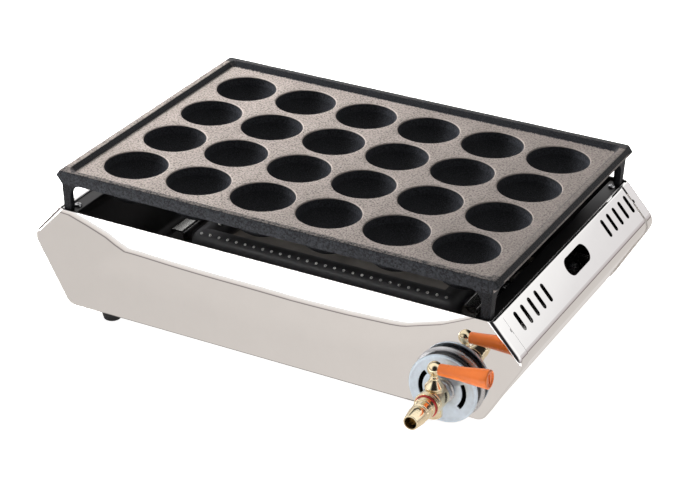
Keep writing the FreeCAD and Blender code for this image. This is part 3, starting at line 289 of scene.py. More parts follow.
# ---- finishes ----
def cast_iron(plate):
    """Seasoned sand-cast iron; the deck and the end rims are ground to a lighter, speckled taupe, which also
    holds a painted sheen.
    """
    finish = Finish("seasoned_cast_iron")
    x, y, height = finish.axes()
    upward = finish.axis(finish.normal, "Z")
    surface = PLATE_HIGH.z - plate.rim
    ground_half, lip_half, right_rim = 0.1058, 0.152, 0.1616
    grain = finish.noise(1700.0, 2.0, 0.6)
    sand = finish.noise(760.0, 2.0, 0.6)
    clouds = finish.noise(24.0, 3.0, 0.6)
    # Where the faces are ground, and where they stay as cast.
    across = y - PLATE_MIDDLE.y
    reach = across.size() + (sand - 0.5) * 0.005 + (grain - 0.5) * 0.003
    ground = 1.0 - reach.ramp(ground_half, ground_half + 0.0005)
    above = height > surface + 0.00025
    deck = height.ramp(surface - 0.0009, surface - 0.0005) * (1.0 - above)
    # The cups' mouths, where a painted highlight goes.
    lip = deck * ground * (1.0 - height.ramp(surface - 0.0003, surface - 0.00002)) * (x.size() < lip_half)
    flat = above * upward.ramp(0.70, 0.90)
    level = (deck + flat * 0.8) * ground
    rough_rim = flat * (1.0 - ground) * (1.0 - across.ramp(0.0, 0.05) * 0.75)
    band = height.ramp(surface - 0.0064, surface - 0.0058) * (1.0 - upward.ramp(0.1, 0.5))
    below_edge = 1.0 - height.ramp(surface - 0.003, surface - 0.0024)
    # The right rim's outer edge, where a painted highlight goes.
    edge = (x > right_rim) * height.ramp(surface - 0.0052, surface - 0.0044) * below_edge
    # The ground faces; their lighter colour is ground iron together with a painted sheen.
    speckle = sand.ramp(0.44, 0.62) * 0.75 + grain.ramp(0.5, 0.7) * 0.25
    ground_and_sheen = finish.blend(clouds.ramp(0.3, 0.75), tint(plate.ground_and_sheen, 1.10), tint(plate.ground_and_sheen, 1.30))
    ground_and_sheen = finish.blend(speckle, ground_and_sheen, tint(plate.ground_and_sheen, 0.55))
    ground_and_sheen = finish.blend((grain * sand).ramp(0.31, 0.35) * 0.8, ground_and_sheen, tint(plate.ground_and_sheen, 0.16))
    # Painted highlight: a thin lighter ring round each cup's mouth.
    ground_and_sheen = finish.blend(lip * 0.7, ground_and_sheen, tint(plate.ground_and_sheen, 1.9))
    # Painted shade: the ground faces darken towards the right, away from the light at the left.
    ground_and_sheen = finish.blend(x.ramp(-0.05, 0.16) * 0.42, ground_and_sheen, tint(plate.ground_and_sheen, 0.45))
    # The faces as cast, with lighter speckles on the band and on the rim tops left rough, fewer towards the
    # back, and a painted highlight along the right rim's outer edge.
    dark = finish.blend(grain.ramp(0.42, 0.72), plate.seasoned, tint(plate.seasoned, 4.0))
    dark = finish.blend(band * sand.ramp(0.35, 0.65), dark, tint(plate.seasoned, 5.5))
    dark = finish.blend(edge * 0.8, dark, tint(plate.ground_and_sheen, 1.3))
    dark = finish.blend(rough_rim * sand.ramp(0.40, 0.58), dark, tint(plate.ground_and_sheen, 0.50))
    rough = 0.50 + level * 0.14 + (grain - 0.5) * 0.25
    return finish.surface(Base_Color=finish.blend(level, dark, ground_and_sheen), Roughness=rough,
                          Specular_IOR_Level=0.14, Normal=finish.bump(grain * 0.6 + sand, 0.0005, 0.9))


def polished_steel(body):
    """Mirror-polished sheet; its inner faces are dulled and darkened by heat stain and painted shade, and the
    ledge under the plate is painted dark for the plate that it mirrors.
    """
    finish = Finish("polished_stainless_sheet")
    x, y, z = finish.axes()
    upward = finish.axis(finish.normal, "Z")
    outward = sum(finish.axis(finish.normal, name) * (finish.axis(finish.place, name) - middle)
                  for name, middle in BODY_MIDDLE.items())
    # Up faces under the plate: the ledge, painted dark as the plate that it mirrors.
    under_plate = (x.size() < LIP_STEP) * (upward > 0.5)
    inside = ((outward < 0.0) + under_plate).clamp()
    ripple = finish.noise(9.0, 1.0, 0.4)
    haze = finish.noise(60.0, 3.0, 0.6)
    brushing = finish.noise(1.0, 2.0, 0.5, finish.stretched(40.0, 40.0, 2200.0))
    rough = body.polish + haze.ramp(0.45, 0.8) * 0.006 + brushing * 0.004 + inside * 0.40
    base = finish.blend(haze.ramp(0.3, 0.8), body.steel, tint(body.steel, 0.975))
    # Heat stain and painted shade darken the inner faces and the ledge under the plate.
    base = finish.blend(inside * 0.97, base, body.stain_and_shade)
    base = finish.blend(seam_shadow(finish) * 0.72, base, body.stain_and_shade)
    # Two painted highlights, a lighter colour with more roughness: along the rear seam, and along the step up
    # from the ledge to the lip.
    edge = (x.size() > END_ZONE) * (y > REAR_SEAM - 0.0002) * (y < REAR_SEAM + 0.0002) * (z < END_ZONE_TOP)
    near_step = (x.size() > LIP_STEP - STEP_HALF) * (x.size() < LIP_STEP + STEP_HALF)
    step = near_step * (z > STEP_HEIGHT) * (upward > 0.3)
    base = finish.blend((edge + step).clamp(), base, tint(body.steel, 1.1))
    rough = rough * (1.0 - step * 0.9) + edge * 0.6 + step * 0.45
    return finish.surface(Base_Color=base, Metallic=1.0, Roughness=rough,
                          Normal=finish.bump(ripple, body.ripple * 1000.0, 0.012))


def seam_shadow(finish):
    """The dark joint where the end panels run under the front and rear panels' folds, with its notches."""
    x, y, z = finish.axes()
    joint = 0.0
    for seam, sign, start, end in ((FRONT_SEAM, 1.0, 0.0006, 0.00125), (REAR_SEAM, -1.0, 0.00005, 0.0003)):
        gap = (y - seam) * sign
        joint = joint + (gap > start) * (gap < end) * z.ramp(0.040, 0.056)
        if seam == FRONT_SEAM:
            across, up = x.size() - NOTCH_X, z - NOTCH_Z
            ring = (across * across + up * up + gap * gap).root()
            joint = joint + (ring > 0.0009) * (ring < 0.0017) * (gap < 0.0004)
    return (joint * (x.size() > SLOPE_START)).clamp()


def mill_steel(name, base, rough, tone=0.8):
    """Sheet or fasteners left plain: fine scratches and a cloudy colour."""
    finish = Finish(name)
    scratches = finish.noise(1.0, 3.0, 0.6, finish.stretched(60.0, 900.0, 900.0))
    clouds = finish.noise(45.0, 3.0, 0.6)
    mixed = finish.blend(clouds.ramp(0.3, 0.75), base, tint(base, tone))
    return finish.surface(Base_Color=mixed, Metallic=1.0, Roughness=rough + scratches * 0.18,
                          Normal=finish.bump(scratches, 0.00004, 0.5))


def baked_coat(name, base, rough, grain_height):
    """Heat-proof coat, or burnt bare metal, with a faint orange-peel grain and dust on its upper faces."""
    finish = Finish(name)
    grain = finish.noise(900.0, 2.0, 0.6)
    clouds = finish.noise(38.0, 3.0, 0.6)
    upward = finish.axis(finish.normal, "Z")
    dust = upward.ramp(0.2, 1.0) * clouds.ramp(0.45, 0.75) * 0.35
    mixed = finish.blend(dust, base, tint(base, 2.4))
    return finish.surface(Base_Color=mixed, Roughness=rough + (grain - 0.5) * 0.15,
                          Normal=finish.bump(grain, grain_height, 0.6))


def turned_brass(tap):
    """Brass off the lathe: fine turning marks and a little tarnish."""
    finish = Finish("turned_brass")
    clouds = finish.noise(110.0, 3.0, 0.6)
    turning = finish.noise(1.0, 2.0, 0.5, finish.stretched(500.0, 5000.0, 500.0))
    base = finish.blend(clouds.ramp(0.35, 0.75), tap.brass, tint(tap.brass, 0.80))
    return finish.surface(Base_Color=base, Metallic=1.0, Roughness=0.09 + turning * 0.10,
                          Normal=finish.bump(turning, 0.00003, 0.4))


def zinc_plate(tap):
    """Bluish zinc plate with its spangle."""
    finish = Finish("bluish_zinc_plate")
    spangle = finish.noise(260.0, 4.0, 0.65)
    clouds = finish.noise(55.0, 2.0, 0.5)
    base = finish.blend(spangle.ramp(0.35, 0.7), tint(tap.zinc, 1.1), tint(tap.zinc, 1.25))
    base = finish.blend(clouds.ramp(0.5, 0.9) * 0.4, base, tint(tap.zinc, 0.86))
    return finish.surface(Base_Color=base, Metallic=0.75, Roughness=0.30 + spangle * 0.16,
                          Normal=finish.bump(spangle, 0.00004, 0.5))


def moulded_plastic(name, base, rough, gloss_share):
    """Glossy moulded plastic with faint flow marks and a fine skin."""
    finish = Finish(name)
    flow = finish.noise(70.0, 2.0, 0.5)
    skin = finish.noise(1300.0, 2.0, 0.5)
    mixed = finish.blend(flow.ramp(0.3, 0.8), base, tint(base, 0.86))
    return finish.surface(Base_Color=mixed, Roughness=rough + (skin - 0.5) * 0.12, Coat_Weight=gloss_share,
                          Coat_Roughness=0.12, Normal=finish.bump(skin, 0.00003, 0.5))


def foot_rubber():
    """Black rubber with a grey bloom."""
    finish = Finish("black_foot_rubber")
    bloom = finish.noise(90.0, 3.0, 0.6)
    grain = finish.noise(1600.0, 2.0, 0.6)
    base = finish.blend(bloom.ramp(0.45, 0.8), (0.014, 0.014, 0.015), (0.032, 0.032, 0.033))
    return finish.surface(Base_Color=base, Roughness=0.62 + (grain - 0.5) * 0.2,
                          Normal=finish.bump(grain, 0.00006, 0.6))


def pressed_fibre():
    """Brown gasket sheet, its fibres lying flat."""
    finish = Finish("pressed_fibre")
    fibres = finish.noise(1.0, 4.0, 0.7, finish.stretched(900.0, 900.0, 2600.0))
    base = finish.blend(fibres.ramp(0.35, 0.7), (0.10, 0.085, 0.075), (0.21, 0.18, 0.155))
    return finish.surface(Base_Color=base, Roughness=0.85, Normal=finish.bump(fibres, 0.0001, 0.6))


FINISHES = {}


def make_finishes(scene):
    """One material for each slot of the model, and one for the port collars, whose pale colour is a painted
    glint.
    """
    FINISHES.update({
        "cast_iron": cast_iron(scene.cooker_plate),
        "polished_steel": polished_steel(scene.cooker_body),
        "plain_steel": mill_steel("mill_finish_sheet", (0.66, 0.65, 0.63), 0.10),
        "fastener_steel": mill_steel("plated_fasteners", (0.66, 0.66, 0.67), 0.20, 0.7),
        "dark_steel": mill_steel("heat_stained_sheet", (0.34, 0.31, 0.285), 0.30, 0.6),
        "burner_steel": baked_coat("burner_tube_black", tuple(scene.cooker_burner.iron), 0.45, 0.0001),
        # Painted glint: pale rims that stand in for the light that the flame ports' edges catch.
        "port_glints": baked_coat("port_rim_glints", (0.80, 0.79, 0.77), 0.4, 0.00002),
        "mixing_tube_iron": baked_coat("mixing_tube_black", (0.016, 0.017, 0.02), 0.22, 0.00012),
        "brass": turned_brass(scene.cooker_tap),
        "zinc_plate": zinc_plate(scene.cooker_tap),
        "orange_plastic": moulded_plastic("orange_grip", tuple(scene.cooker_tap.grip), 0.30, 0.25),
        "red_plastic": moulded_plastic("red_stop_ring", tuple(scene.cooker_tap.ring), 0.28, 0.3),
        "foot_rubber": foot_rubber(),
        "gasket_fibre": pressed_fibre(),
    })


# ---- mesh helpers ----
def new_piece(name, mesh_data):
    """An object in the scene from mesh data, which is freed."""
    mesh = bpy.data.meshes.new(name)
    mesh_data.to_mesh(mesh)
    mesh_data.free()
    piece = bpy.data.objects.new(name, mesh)
    bpy.context.scene.collection.objects.link(piece)
    return piece


def settle(piece):
    """Turn the piece and its modifiers into one plain mesh."""
    graph = bpy.context.evaluated_depsgraph_get()
    mesh = bpy.data.meshes.new_from_object(piece.evaluated_get(graph))
    piece.modifiers.clear()
    piece.data = mesh
    return piece


def smooth(piece, degrees=35.0):
    piece.data.shade_smooth()
    piece.data.set_sharp_from_angle(angle=math.radians(degrees))


def drop(piece):
    bpy.data.objects.remove(piece)


def soften(piece, width, segments=2, degrees=30.0):
    bevel = piece.modifiers.new("soft_edges", "BEVEL")
    bevel.width, bevel.segments = width, segments
    bevel.limit_method, bevel.angle_limit = "ANGLE", math.radians(degrees)
    bevel.harden_normals = False
    return settle(piece)


def cut(piece, tools):
    for tool in tools:
        boolean = piece.modifiers.new("cut", "BOOLEAN")
        boolean.operation, boolean.solver, boolean.object = "DIFFERENCE", "EXACT", tool
    settle(piece)
    for tool in tools:
        drop(tool)
    return piece


def outline(points):
    """(along, radius, rounding) corners in millimetres to a line with its corners rounded."""
    line = []
    for index, (along, radius, rounding) in enumerate(points):
        corner = Vector((along, radius))
        if rounding <= 0 or index in (0, len(points) - 1):
            line.append(corner)
            continue
        before = Vector(points[index - 1][:2]) - corner
        after = Vector(points[index + 1][:2]) - corner
        start = corner + before.normalized() * min(rounding, before.length * 0.49)
        end = corner + after.normalized() * min(rounding, after.length * 0.49)
        for step in range(6):
            share = step / 5.0
            line.append(start * (1 - share) ** 2 + corner * 2 * share * (1 - share) + end * share ** 2)
    return line


def lathe(name, points, base, direction, around=72, closed=False):
    """A turned shape. base is in millimetres; closed joins the line's ends into a ring."""
    turn = Vector(direction).to_track_quat("Z", "Y").to_matrix()
    base = Vector(base) * MM
    data = bmesh.new()
    rings = []
    for along, radius in outline(points):
        ring = []
        for step in range(around if radius > 1e-6 else 1):
            angle = 2 * math.pi * step / around
            local = Vector((radius * math.cos(angle), radius * math.sin(angle), along)) * MM
            ring.append(data.verts.new(base + turn @ local))
        rings.append(ring)
    pairs = list(zip(rings, rings[1:])) + ([(rings[-1], rings[0])] if closed else [])
    for low, high in pairs:
        bridge(data, low, high)
    bmesh.ops.recalc_face_normals(data, faces=data.faces)
    piece = new_piece(name, data)
    smooth(piece)
    return piece


def tap_turning(name, points, y, **more):
    """A turned shape on the tap's axis, its line running back from y, in millimetres."""
    return lathe(name, points, (TAP_X / MM, y, TAP_Z / MM), (0, 1, 0), **more)


def lever_turning(name, points, **more):
    """A turned shape on the upright axis that the lever turns about."""
    return lathe(name, points, (TAP_X / MM, LEVER_Y, TAP_Z / MM), (0, 0, 1), **more)


def bridge(data, low, high):
    """Faces between two closed rings of points; a ring of one point is a pole."""
    sides = max(len(low), len(high))
    for step in range(sides):
        nexts = (step + 1) % sides
        if len(low) == 1:
            data.faces.new((low[0], high[nexts], high[step]))
        elif len(high) == 1:
            data.faces.new((low[step], low[nexts], high[0]))
        else:
            data.faces.new((low[step], low[nexts], high[nexts], high[step]))


def prism(name, corners, along):
    """A closed prism from a flat outline of points in metres, pushed along a vector."""
    data = bmesh.new()
    low = [data.verts.new(Vector(corner)) for corner in corners]
    high = [data.verts.new(Vector(corner) + Vector(along)) for corner in corners]
    bridge(data, low, high)
    data.faces.new(low)
    data.faces.new(high)
    bmesh.ops.recalc_face_normals(data, faces=data.faces)
    return new_piece(name, data)


def bar(name, middle, first, second, along):
    """A cutter from a rectangle with two half-sides about its middle, pushed along, in millimetres."""
    signs = ((-1, -1), (1, -1), (1, 1), (-1, 1))
    corners = [(middle + first * one + second * other) * MM for one, other in signs]
    return prism(name, corners, along * MM)


def join(name, pieces):
    """One object from several closed shells."""
    data = bmesh.new()
    for piece in pieces:
        data.from_mesh(piece.data)
        drop(piece)
    joined = new_piece(name, data)
    smooth(joined)
    return joined


def fit(piece, body, slot, *nodes):
    """Give the piece its body, its finish and the nodes that it stands for."""
    if piece.data.materials:
        piece.data.materials[0] = FINISHES[slot]
    else:
        piece.data.materials.append(FINISHES[slot])
    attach(piece, body)
    if nodes:
        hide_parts(*nodes)
    return piece


def dress(slot, *nodes):
    """Give nodes that keep their own mesh a finish."""
    for node in nodes:
        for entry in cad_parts[node].material_slots:
            entry.material = FINISHES[slot]


# ---- node tree for pieces that repeat ----
def repeated(name, host, form, slot, sizes, build):
    """Run a Geometry Nodes tree on the host object and return it as a plain mesh; sizes are its inputs."""
    inputs = {"Form": ("NodeSocketObject", form), "Finish": ("NodeSocketMaterial", FINISHES[slot]), **sizes}
    group = bpy.data.node_groups.new(name, "GeometryNodeTree")
    group.interface.new_socket("Geometry", in_out="INPUT", socket_type="NodeSocketGeometry")
    group.interface.new_socket("Geometry", in_out="OUTPUT", socket_type="NodeSocketGeometry")
    made = {label: group.interface.new_socket(label, in_out="INPUT", socket_type=kind)
            for label, (kind, _) in inputs.items()}
    tree = Tree(group)
    entry = group.nodes.new("NodeGroupInput")
    sources = {item.name: Socket(tree, item) for item in entry.outputs if item.name}
    shape = tree.node("GeometryNodeObjectInfo", None, {"Object": sources["Form"]}, output="Geometry")
    result = build(tree, sources, shape)
    result = tree.node("GeometryNodeRealizeInstances", None, {"Geometry": result})
    result = tree.node("GeometryNodeMergeByDistance", None, {"Geometry": result, "Distance": 0.00001})
    result = tree.node("GeometryNodeSetMaterial", None, {"Geometry": result, "Material": sources["Finish"]})
    tree.node("NodeGroupOutput", None, {"Geometry": result})
    modifier = host.modifiers.new(name, "NODES")
    modifier.node_group = group
    for label, (_, value) in inputs.items():
        modifier[made[label].identifier] = value
    settle(host)
    drop(form)
    return host


def spread(name, places, form, slot, seed):
    """The form set on points, each turned to its direction and spun about it by a fixed seed."""
    data = bmesh.new()
    way = data.verts.layers.float_vector.new("way")
    for place, direction in places:
        data.verts.new(place)[way] = direction
    host = new_piece(name, data)

    def build(tree, sources, shape):
        facing = tree.node("GeometryNodeInputNamedAttribute", {"data_type": "FLOAT_VECTOR"},
                           {"Name": "way"}, output="Attribute")
        turn = tree.node("FunctionNodeAlignRotationToVector", {"axis": "Z"}, {"Vector": facing})
        points = tree.node("GeometryNodeInstanceOnPoints", None,
                           {"Points": sources["Geometry"], "Instance": shape, "Rotation": turn})
        spin = tree.node("FunctionNodeRandomValue", {"data_type": "FLOAT"},
                         {"Min_001": 0.0, "Max_001": sources["Spin"], "Seed": sources["Seed"]},
                         output="Value_001")
        about = tree.node("ShaderNodeCombineXYZ", None, {"Z": spin})
        return tree.node("GeometryNodeRotateInstances", None, {"Instances": points, "Rotation": about})

    sizes = {"Spin": ("NodeSocketFloat", math.pi), "Seed": ("NodeSocketInt", seed)}
    return repeated(name, host, form, slot, sizes, build)


# ---- the cast plate ----
def cup_form(plate):
    """One square of the deck with its cup: top face, rounded lip, bowl, and the same below."""
    half, radius, wall, deck = plate.pitch / 2, plate.cup_radius, plate.cup_wall, plate.deck
    side, outer = 16, radius + wall
    edge = []
    for turn in range(4):
        for step in range(side):
            spot = Vector((half, -half + plate.pitch * step / side))
            edge.append(Matrix.Rotation(turn * math.pi / 2, 2) @ spot)
    data = bmesh.new()

    def ring(ring_radius, height):
        return [data.verts.new((*(spot.normalized() * ring_radius), height)) for spot in edge]

    def shell(start, lips, ball, middle, from_angle, steps):
        rings = [[data.verts.new((spot.x, spot.y, start)) for spot in edge]]
        rings += [ring(*lip) for lip in lips]
        for step in range(1, steps):
            angle = from_angle + (math.pi / 2 - from_angle) * step / steps
            rings.append(ring(ball * math.cos(angle), middle - ball * math.sin(angle)))
        rings.append([data.verts.new((0.0, 0.0, middle - ball))])
        for low, high in zip(rings, rings[1:]):
            bridge(data, low, high)

    lips = [(radius + 0.0011, 0.0), (radius + 0.00065, -0.0001), (radius + 0.0003, -0.0004),
            (radius, -0.0009)]
    shell(0.0, lips, radius, 0.0, math.asin(0.0009 / radius), 14)
    under = math.asin((deck - plate.cup_drop) / outer)
    root = outer * math.cos(under)
    lips = [(root + 0.0003, -deck), (root - 0.0001, -deck - 0.0006)]
    shell(-deck, lips, outer, -plate.cup_drop, under + 0.03, 11)
    return new_piece("cup_form", data)


def cup_deck(plate):
    """The cooking surface: the cup form repeated over the plate, closed round its border."""
    form = cup_form(plate)
    host = new_piece("cup_deck", bmesh.new())
    surface = PLATE_HIGH.z - plate.rim

    def build(tree, sources, shape):
        along = (sources["Columns"] - 1) * sources["Pitch"]
        across = (sources["Rows"] - 1) * sources["Pitch"]
        grid = tree.node("GeometryNodeMeshGrid", None, {"Size X": along, "Size Y": across,
                                                        "Vertices X": sources["Columns"],
                                                        "Vertices Y": sources["Rows"]}, output="Mesh")
        cups = tree.node("GeometryNodeInstanceOnPoints", None, {"Points": grid, "Instance": shape})
        return tree.node("GeometryNodeTransform", None, {"Geometry": cups, "Translation": sources["Middle"]})

    sizes = {"Columns": ("NodeSocketInt", plate.columns), "Rows": ("NodeSocketInt", plate.rows),
             "Pitch": ("NodeSocketFloat", plate.pitch),
             "Middle": ("NodeSocketVector", (PLATE_MIDDLE.x, PLATE_MIDDLE.y, surface))}
    deck = repeated("cup_rows", host, form, "cast_iron", sizes, build)
    data = bmesh.new()
    data.from_mesh(deck.data)
    drop(deck)
    # The outer cups' squares are drawn out under the rim.
    half_x, half_y = 0.1568, 0.1086
    reach = ((0, plate.columns * plate.pitch / 2, half_x), (1, plate.rows * plate.pitch / 2, half_y))
    for vertex in data.verts:
        for side, inside, outside in reach:
            gap = vertex.co[side] - PLATE_MIDDLE[side]
            if abs(gap) > inside - 0.00001:
                vertex.co[side] = PLATE_MIDDLE[side] + math.copysign(outside, gap)
    rims = [edge for edge in data.edges if edge.is_boundary]
    bmesh.ops.bridge_loops(data, edges=rims)
    bmesh.ops.recalc_face_normals(data, faces=data.faces)
    return new_piece("cup_deck", data)


def plate_ring(data, half_x, half_y, height, radius):
    """Points of a rounded rectangle about the plate's middle, in millimetres."""
    points, steps = [], 7
    for turn in range(4):
        sign_x = 1 if turn in (0, 3) else -1
        sign_y = 1 if turn in (0, 1) else -1
        for step in range(steps):
            along = math.pi / 2 * (turn + step / (steps - 1))
            spot = Vector((sign_x * (half_x - radius) + radius * math.cos(along),
                           sign_y * (half_y - radius) + radius * math.sin(along), height)) * MM
            spot.x += PLATE_MIDDLE.x
            spot.y += PLATE_MIDDLE.y
            points.append(data.verts.new(spot))
    return points


def skirt_window(half, head, foot, through_ends):
    """A cutter for an opening between two corner legs, its top corners rounded, in millimetres."""
    rounding, low, past_x, past_y = 8.5, foot - 10, 0.2, 0.15
    corners = [(-half, low), (half, low)]
    for sign, start in ((1, 0.0), (-1, math.pi / 2)):
        for step in range(9):
            turn = start + math.pi / 2 * step / 8
            corners.append((sign * (half - rounding) + rounding * math.cos(turn),
                            head - rounding + rounding * math.sin(turn)))
    if through_ends:
        spots = [(-past_x, PLATE_MIDDLE.y + across * MM, height * MM) for across, height in corners]
        return prism("window", spots, (2 * past_x, 0, 0))
    spots = [(across * MM, PLATE_MIDDLE.y - past_y, height * MM) for across, height in corners]
    return prism("window", spots, (0, 2 * past_y, 0))


def rim_and_skirt(plate):
    """The raised rim and the slanted skirt, with the wide windows between its corner legs."""
    top, foot = PLATE_HIGH.z / MM, PLATE_LOW.z / MM
    surface = top - plate.rim / MM
    section = [(162.2, 114.2, top, 1.5), (165.2, 114.2, surface - 0.7, 1.5),
               (160.7, 114.2, surface - 6.4, 1.5), (159.5, 114.2, foot, 1.5), (155.5, 110.2, foot, 1.0),
               (156.7, 110.2, surface - 6.4, 1.0), (158.2, 110.2, surface - 4.5, 1.0),
               (154.7, 106.7, surface - 4.3, 5.0), (154.7, 106.7, surface - 0.5, 5.0),
               (158.0, 110.0, top, 5.0)]
    data = bmesh.new()
    rings = [plate_ring(data, *row) for row in section]
    for low, high in zip(rings, rings[1:] + rings[:1]):
        bridge(data, low, high)
    bmesh.ops.recalc_face_normals(data, faces=data.faces)
    ring = new_piece("rim_and_skirt", data)
    long_half, end_half, long_drop, end_drop = 153.5, 106.2, 5.6, 6.9
    cut(ring, [skirt_window(long_half, surface - long_drop, foot, False),
               skirt_window(end_half, surface - end_drop, foot, True)])
    split_wide_faces(ring)
    return ring


def split_wide_faces(piece):
    """Cut faces with more than four corners into triangles, which keep their shape under a bevel."""
    data = bmesh.new()
    data.from_mesh(piece.data)
    bmesh.ops.triangulate(data, faces=[face for face in data.faces if len(face.verts) > 4])
    data.to_mesh(piece.data)
    data.free()


class COOKER_OT_cooking_plate(bpy.types.Operator):
    """Make the cast plate: 24 cups in a deck, a raised rim and a skirt on four legs"""
    bl_idname = "cooker.cooking_plate"
    bl_label = "Cooking plate"

    def execute(self, context):
        plate = context.scene.cooker_plate
        ring = soften(rim_and_skirt(plate), plate.softening, 3)
        casting = join("cast_cooking_plate", [cup_deck(plate), ring])
        fit(casting, "plate", "cast_iron", "cooking_plate")
        return {"FINISHED"}


# ---- the folded body ----
class COOKER_OT_body_panels(bpy.types.Operator):
    """Finish the polished panels and the sheets inside them"""
    bl_idname = "cooker.body_panels"
    bl_label = "Body panels"

    def execute(self, context):
        dress("polished_steel", "front_panel", "rear_panel", "left_end_panel", "right_end_panel")
        dress("plain_steel", "bottom_plate", "corner_brackets", "burner_bracket_left", "burner_bracket_right")
        dress("dark_steel", "heat_shield")
        return {"FINISHED"}


class COOKER_OT_feet(bpy.types.Operator):
    """Make the four rubber feet with their rounded edges and screw recesses"""
    bl_idname = "cooker.feet"
    bl_label = "Rubber feet"

    def execute(self, context):
        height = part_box("foot_rear_right")[1].z / MM
        points = [(5.0, 2.0, 0), (5.0, 4.2, 0.3), (0.0, 4.2, 0.5), (0.0, 6.0, 1.0), (height, 8.5, 0.5),
                  (height, 2.0, 0)]
        for node in ("foot_front_left", "foot_front_right", "foot_rear_left", "foot_rear_right"):
            low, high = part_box(node)
            middle = (low + high) / 2 / MM
            foot = lathe("rubber_" + node, points, (middle.x, middle.y, 0), (0, 0, 1), around=48, closed=True)
            fit(foot, "cooker_body", "foot_rubber", node)
        return {"FINISHED"}


# ---- screws ----
def screw_form(radius, head_radius, head_height, shank):
    """A pan-head screw with a cross recess, its head's seat at the origin and its shank along +Z."""
    line = [(-head_height, 0, 0), (-head_height, head_radius * 0.8, head_radius * 0.35),
            (-head_height * 0.45, head_radius, head_radius * 0.2), (0, head_radius, 0.15),
            (0, radius, 0), (shank - 0.4, radius, 0), (shank, radius - 0.4, 0), (shank, 0, 0)]
    form = lathe("screw_form", line, (0, 0, 0), UP, around=32)
    arm, width, depth = head_radius * 0.55, head_radius * 0.13, head_height * 0.6
    above = UP * -2 * head_height
    return cut(form, [bar("recess", above, RIGHT * wide, BACK * narrow, UP * (head_height + depth))
                      for wide, narrow in ((arm, width), (width, arm))])


class COOKER_OT_screws(bpy.types.Operator):
    """Set the cross-recess screws and finish their nuts"""
    bl_idname = "cooker.screws"
    bl_label = "Screws and nuts"

    def execute(self, context):
        # Shank's radius, head's radius and height in millimetres, and the way that the screw points.
        groups = {
            "corner_screws": (1.5, 2.6, 1.6, "-Z"), "foot_screws": (2.0, 3.7, 2.4, "Z"),
            "bracket_screws": (1.5, 2.6, 1.6, "Z"), "burner_screws": (1.5, 2.6, 1.6, "X"),
            "joint_screws": (2.0, 3.7, 2.4, "-X"),
        }
        for seed, (node, (radius, head_radius, head_height, way)) in enumerate(groups.items()):
            places, shank = screw_places(node, head_radius, head_height, way)
            form = screw_form(radius, head_radius, head_height, shank)
            piece = spread("cross_" + node, places, form, "fastener_steel", seed)
            smooth(piece)
            fit(piece, "cooker_body", "fastener_steel", node)
        dress("fastener_steel", "foot_nuts", "corner_nuts", "burner_nuts", "bracket_nuts", "joint_nuts")
        return {"FINISHED"}


def screw_places(node, head_radius, head_height, way):
    """Seats and directions of a group of like screws, and their shank's length in millimetres."""
    low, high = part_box(node)
    head, crown = head_radius * MM, head_height * MM
    middle = (low + high) / 2
    places = []
    if way in ("Z", "-Z"):
        sign = 1 if way == "Z" else -1
        seat = low.z + crown if sign > 0 else high.z - crown
        shank = (high.z - low.z) / MM - head_height
        for x in (low.x + head, high.x - head):
            for y in (low.y + head, high.y - head):
                places.append(((x, y, seat), (0, 0, sign)))
    elif way == "X":
        seat = 0.107
        shank = (high.x - seat) / MM
        for sign in (-1, 1):
            for y in (low.y + head, high.y - head):
                places.append(((sign * seat, y, middle.z), (sign, 0, 0)))
    else:
        shank = (high.x - low.x) / MM - head_height
        for y in (low.y + head, high.y - head):
            places.append(((high.x - crown, y, middle.z), (-1, 0, 0)))
    return places, shank


# ---- the burner ----
class COOKER_OT_burner(bpy.types.Operator):
    """Finish the burner and set a pale collar round each flame port, its light colour a painted glint"""
    bl_idname = "cooker.burner"
    bl_label = "Burner"

    def execute(self, context):
        burner = context.scene.cooker_burner
        dress("burner_steel", "burner_ring")
        dress("gasket_fibre", "burner_gasket")
        dress("mixing_tube_iron", "mixing_tube")
        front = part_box("front_panel")[0].y / MM
        line = [(0.0, 22.1, 0), (0.0, 25.0, 0.3), (-0.9, 24.9, 0.7), (-1.7, 23.0, 0.6), (-1.7, 22.1, 0.2)]
        trim = tap_turning("bell_trim_ring", line, front, around=120, closed=True)
        fit(trim, "cooker_body", "fastener_steel")
        radius = burner.collar / MM
        line = [(-0.6, radius, 0), (0.2, radius, 0.2), (0.45, radius * 0.55, 0.1), (-0.6, radius * 0.45, 0)]
        form = lathe("collar_form", line, (0, 0, 0), UP, around=12, closed=True)
        # Each collar's pale finish is a painted glint on the port's rim.
        collars = spread("flame_port_collars", port_places(burner), form, "port_glints", 3)
        smooth(collars)
        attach(collars, "cooker_body")
        return {"FINISHED"}


def port_places(burner):
    """Mouths of the flame ports on the burner's ring, and the way each one blows."""
    half_x, half_y, tube, height = 0.096, 0.0349, 0.009, 0.0395
    rise = math.radians(60)
    places = []

    middle = Vector((0, PLATE_MIDDLE.y, height))
    tubes = ((burner.long_ports, RIGHT, BACK, half_y, 1), (burner.cross_ports, BACK, RIGHT, half_x, -1))
    for ports, along, aside, half, blow in tubes:
        for index in range(ports):
            step = along * ((index - (ports - 1) / 2) * burner.port_pitch)
            for sign in (-1, 1):
                way = aside * sign * blow * math.cos(rise) + UP * math.sin(rise)
                places.append((middle + step + aside * sign * half + way * tube, way))
    return places


# ---- the air intake ----
def arc_tool(inner, outer, start, end, base_y, depth):
    """A cutter for an arc slot about the tap's axis, in millimetres and degrees."""
    corners = []
    for radius, first, last in ((outer, start, end), (inner, end, start)):
        for step in range(17):
            turn = math.radians(first + (last - first) * step / 16)
            corners.append((TAP_X + radius * math.cos(turn) * MM, base_y * MM,
                            TAP_Z + radius * math.sin(turn) * MM))
    return prism("arc_slot", corners, (0, depth * MM, 0))


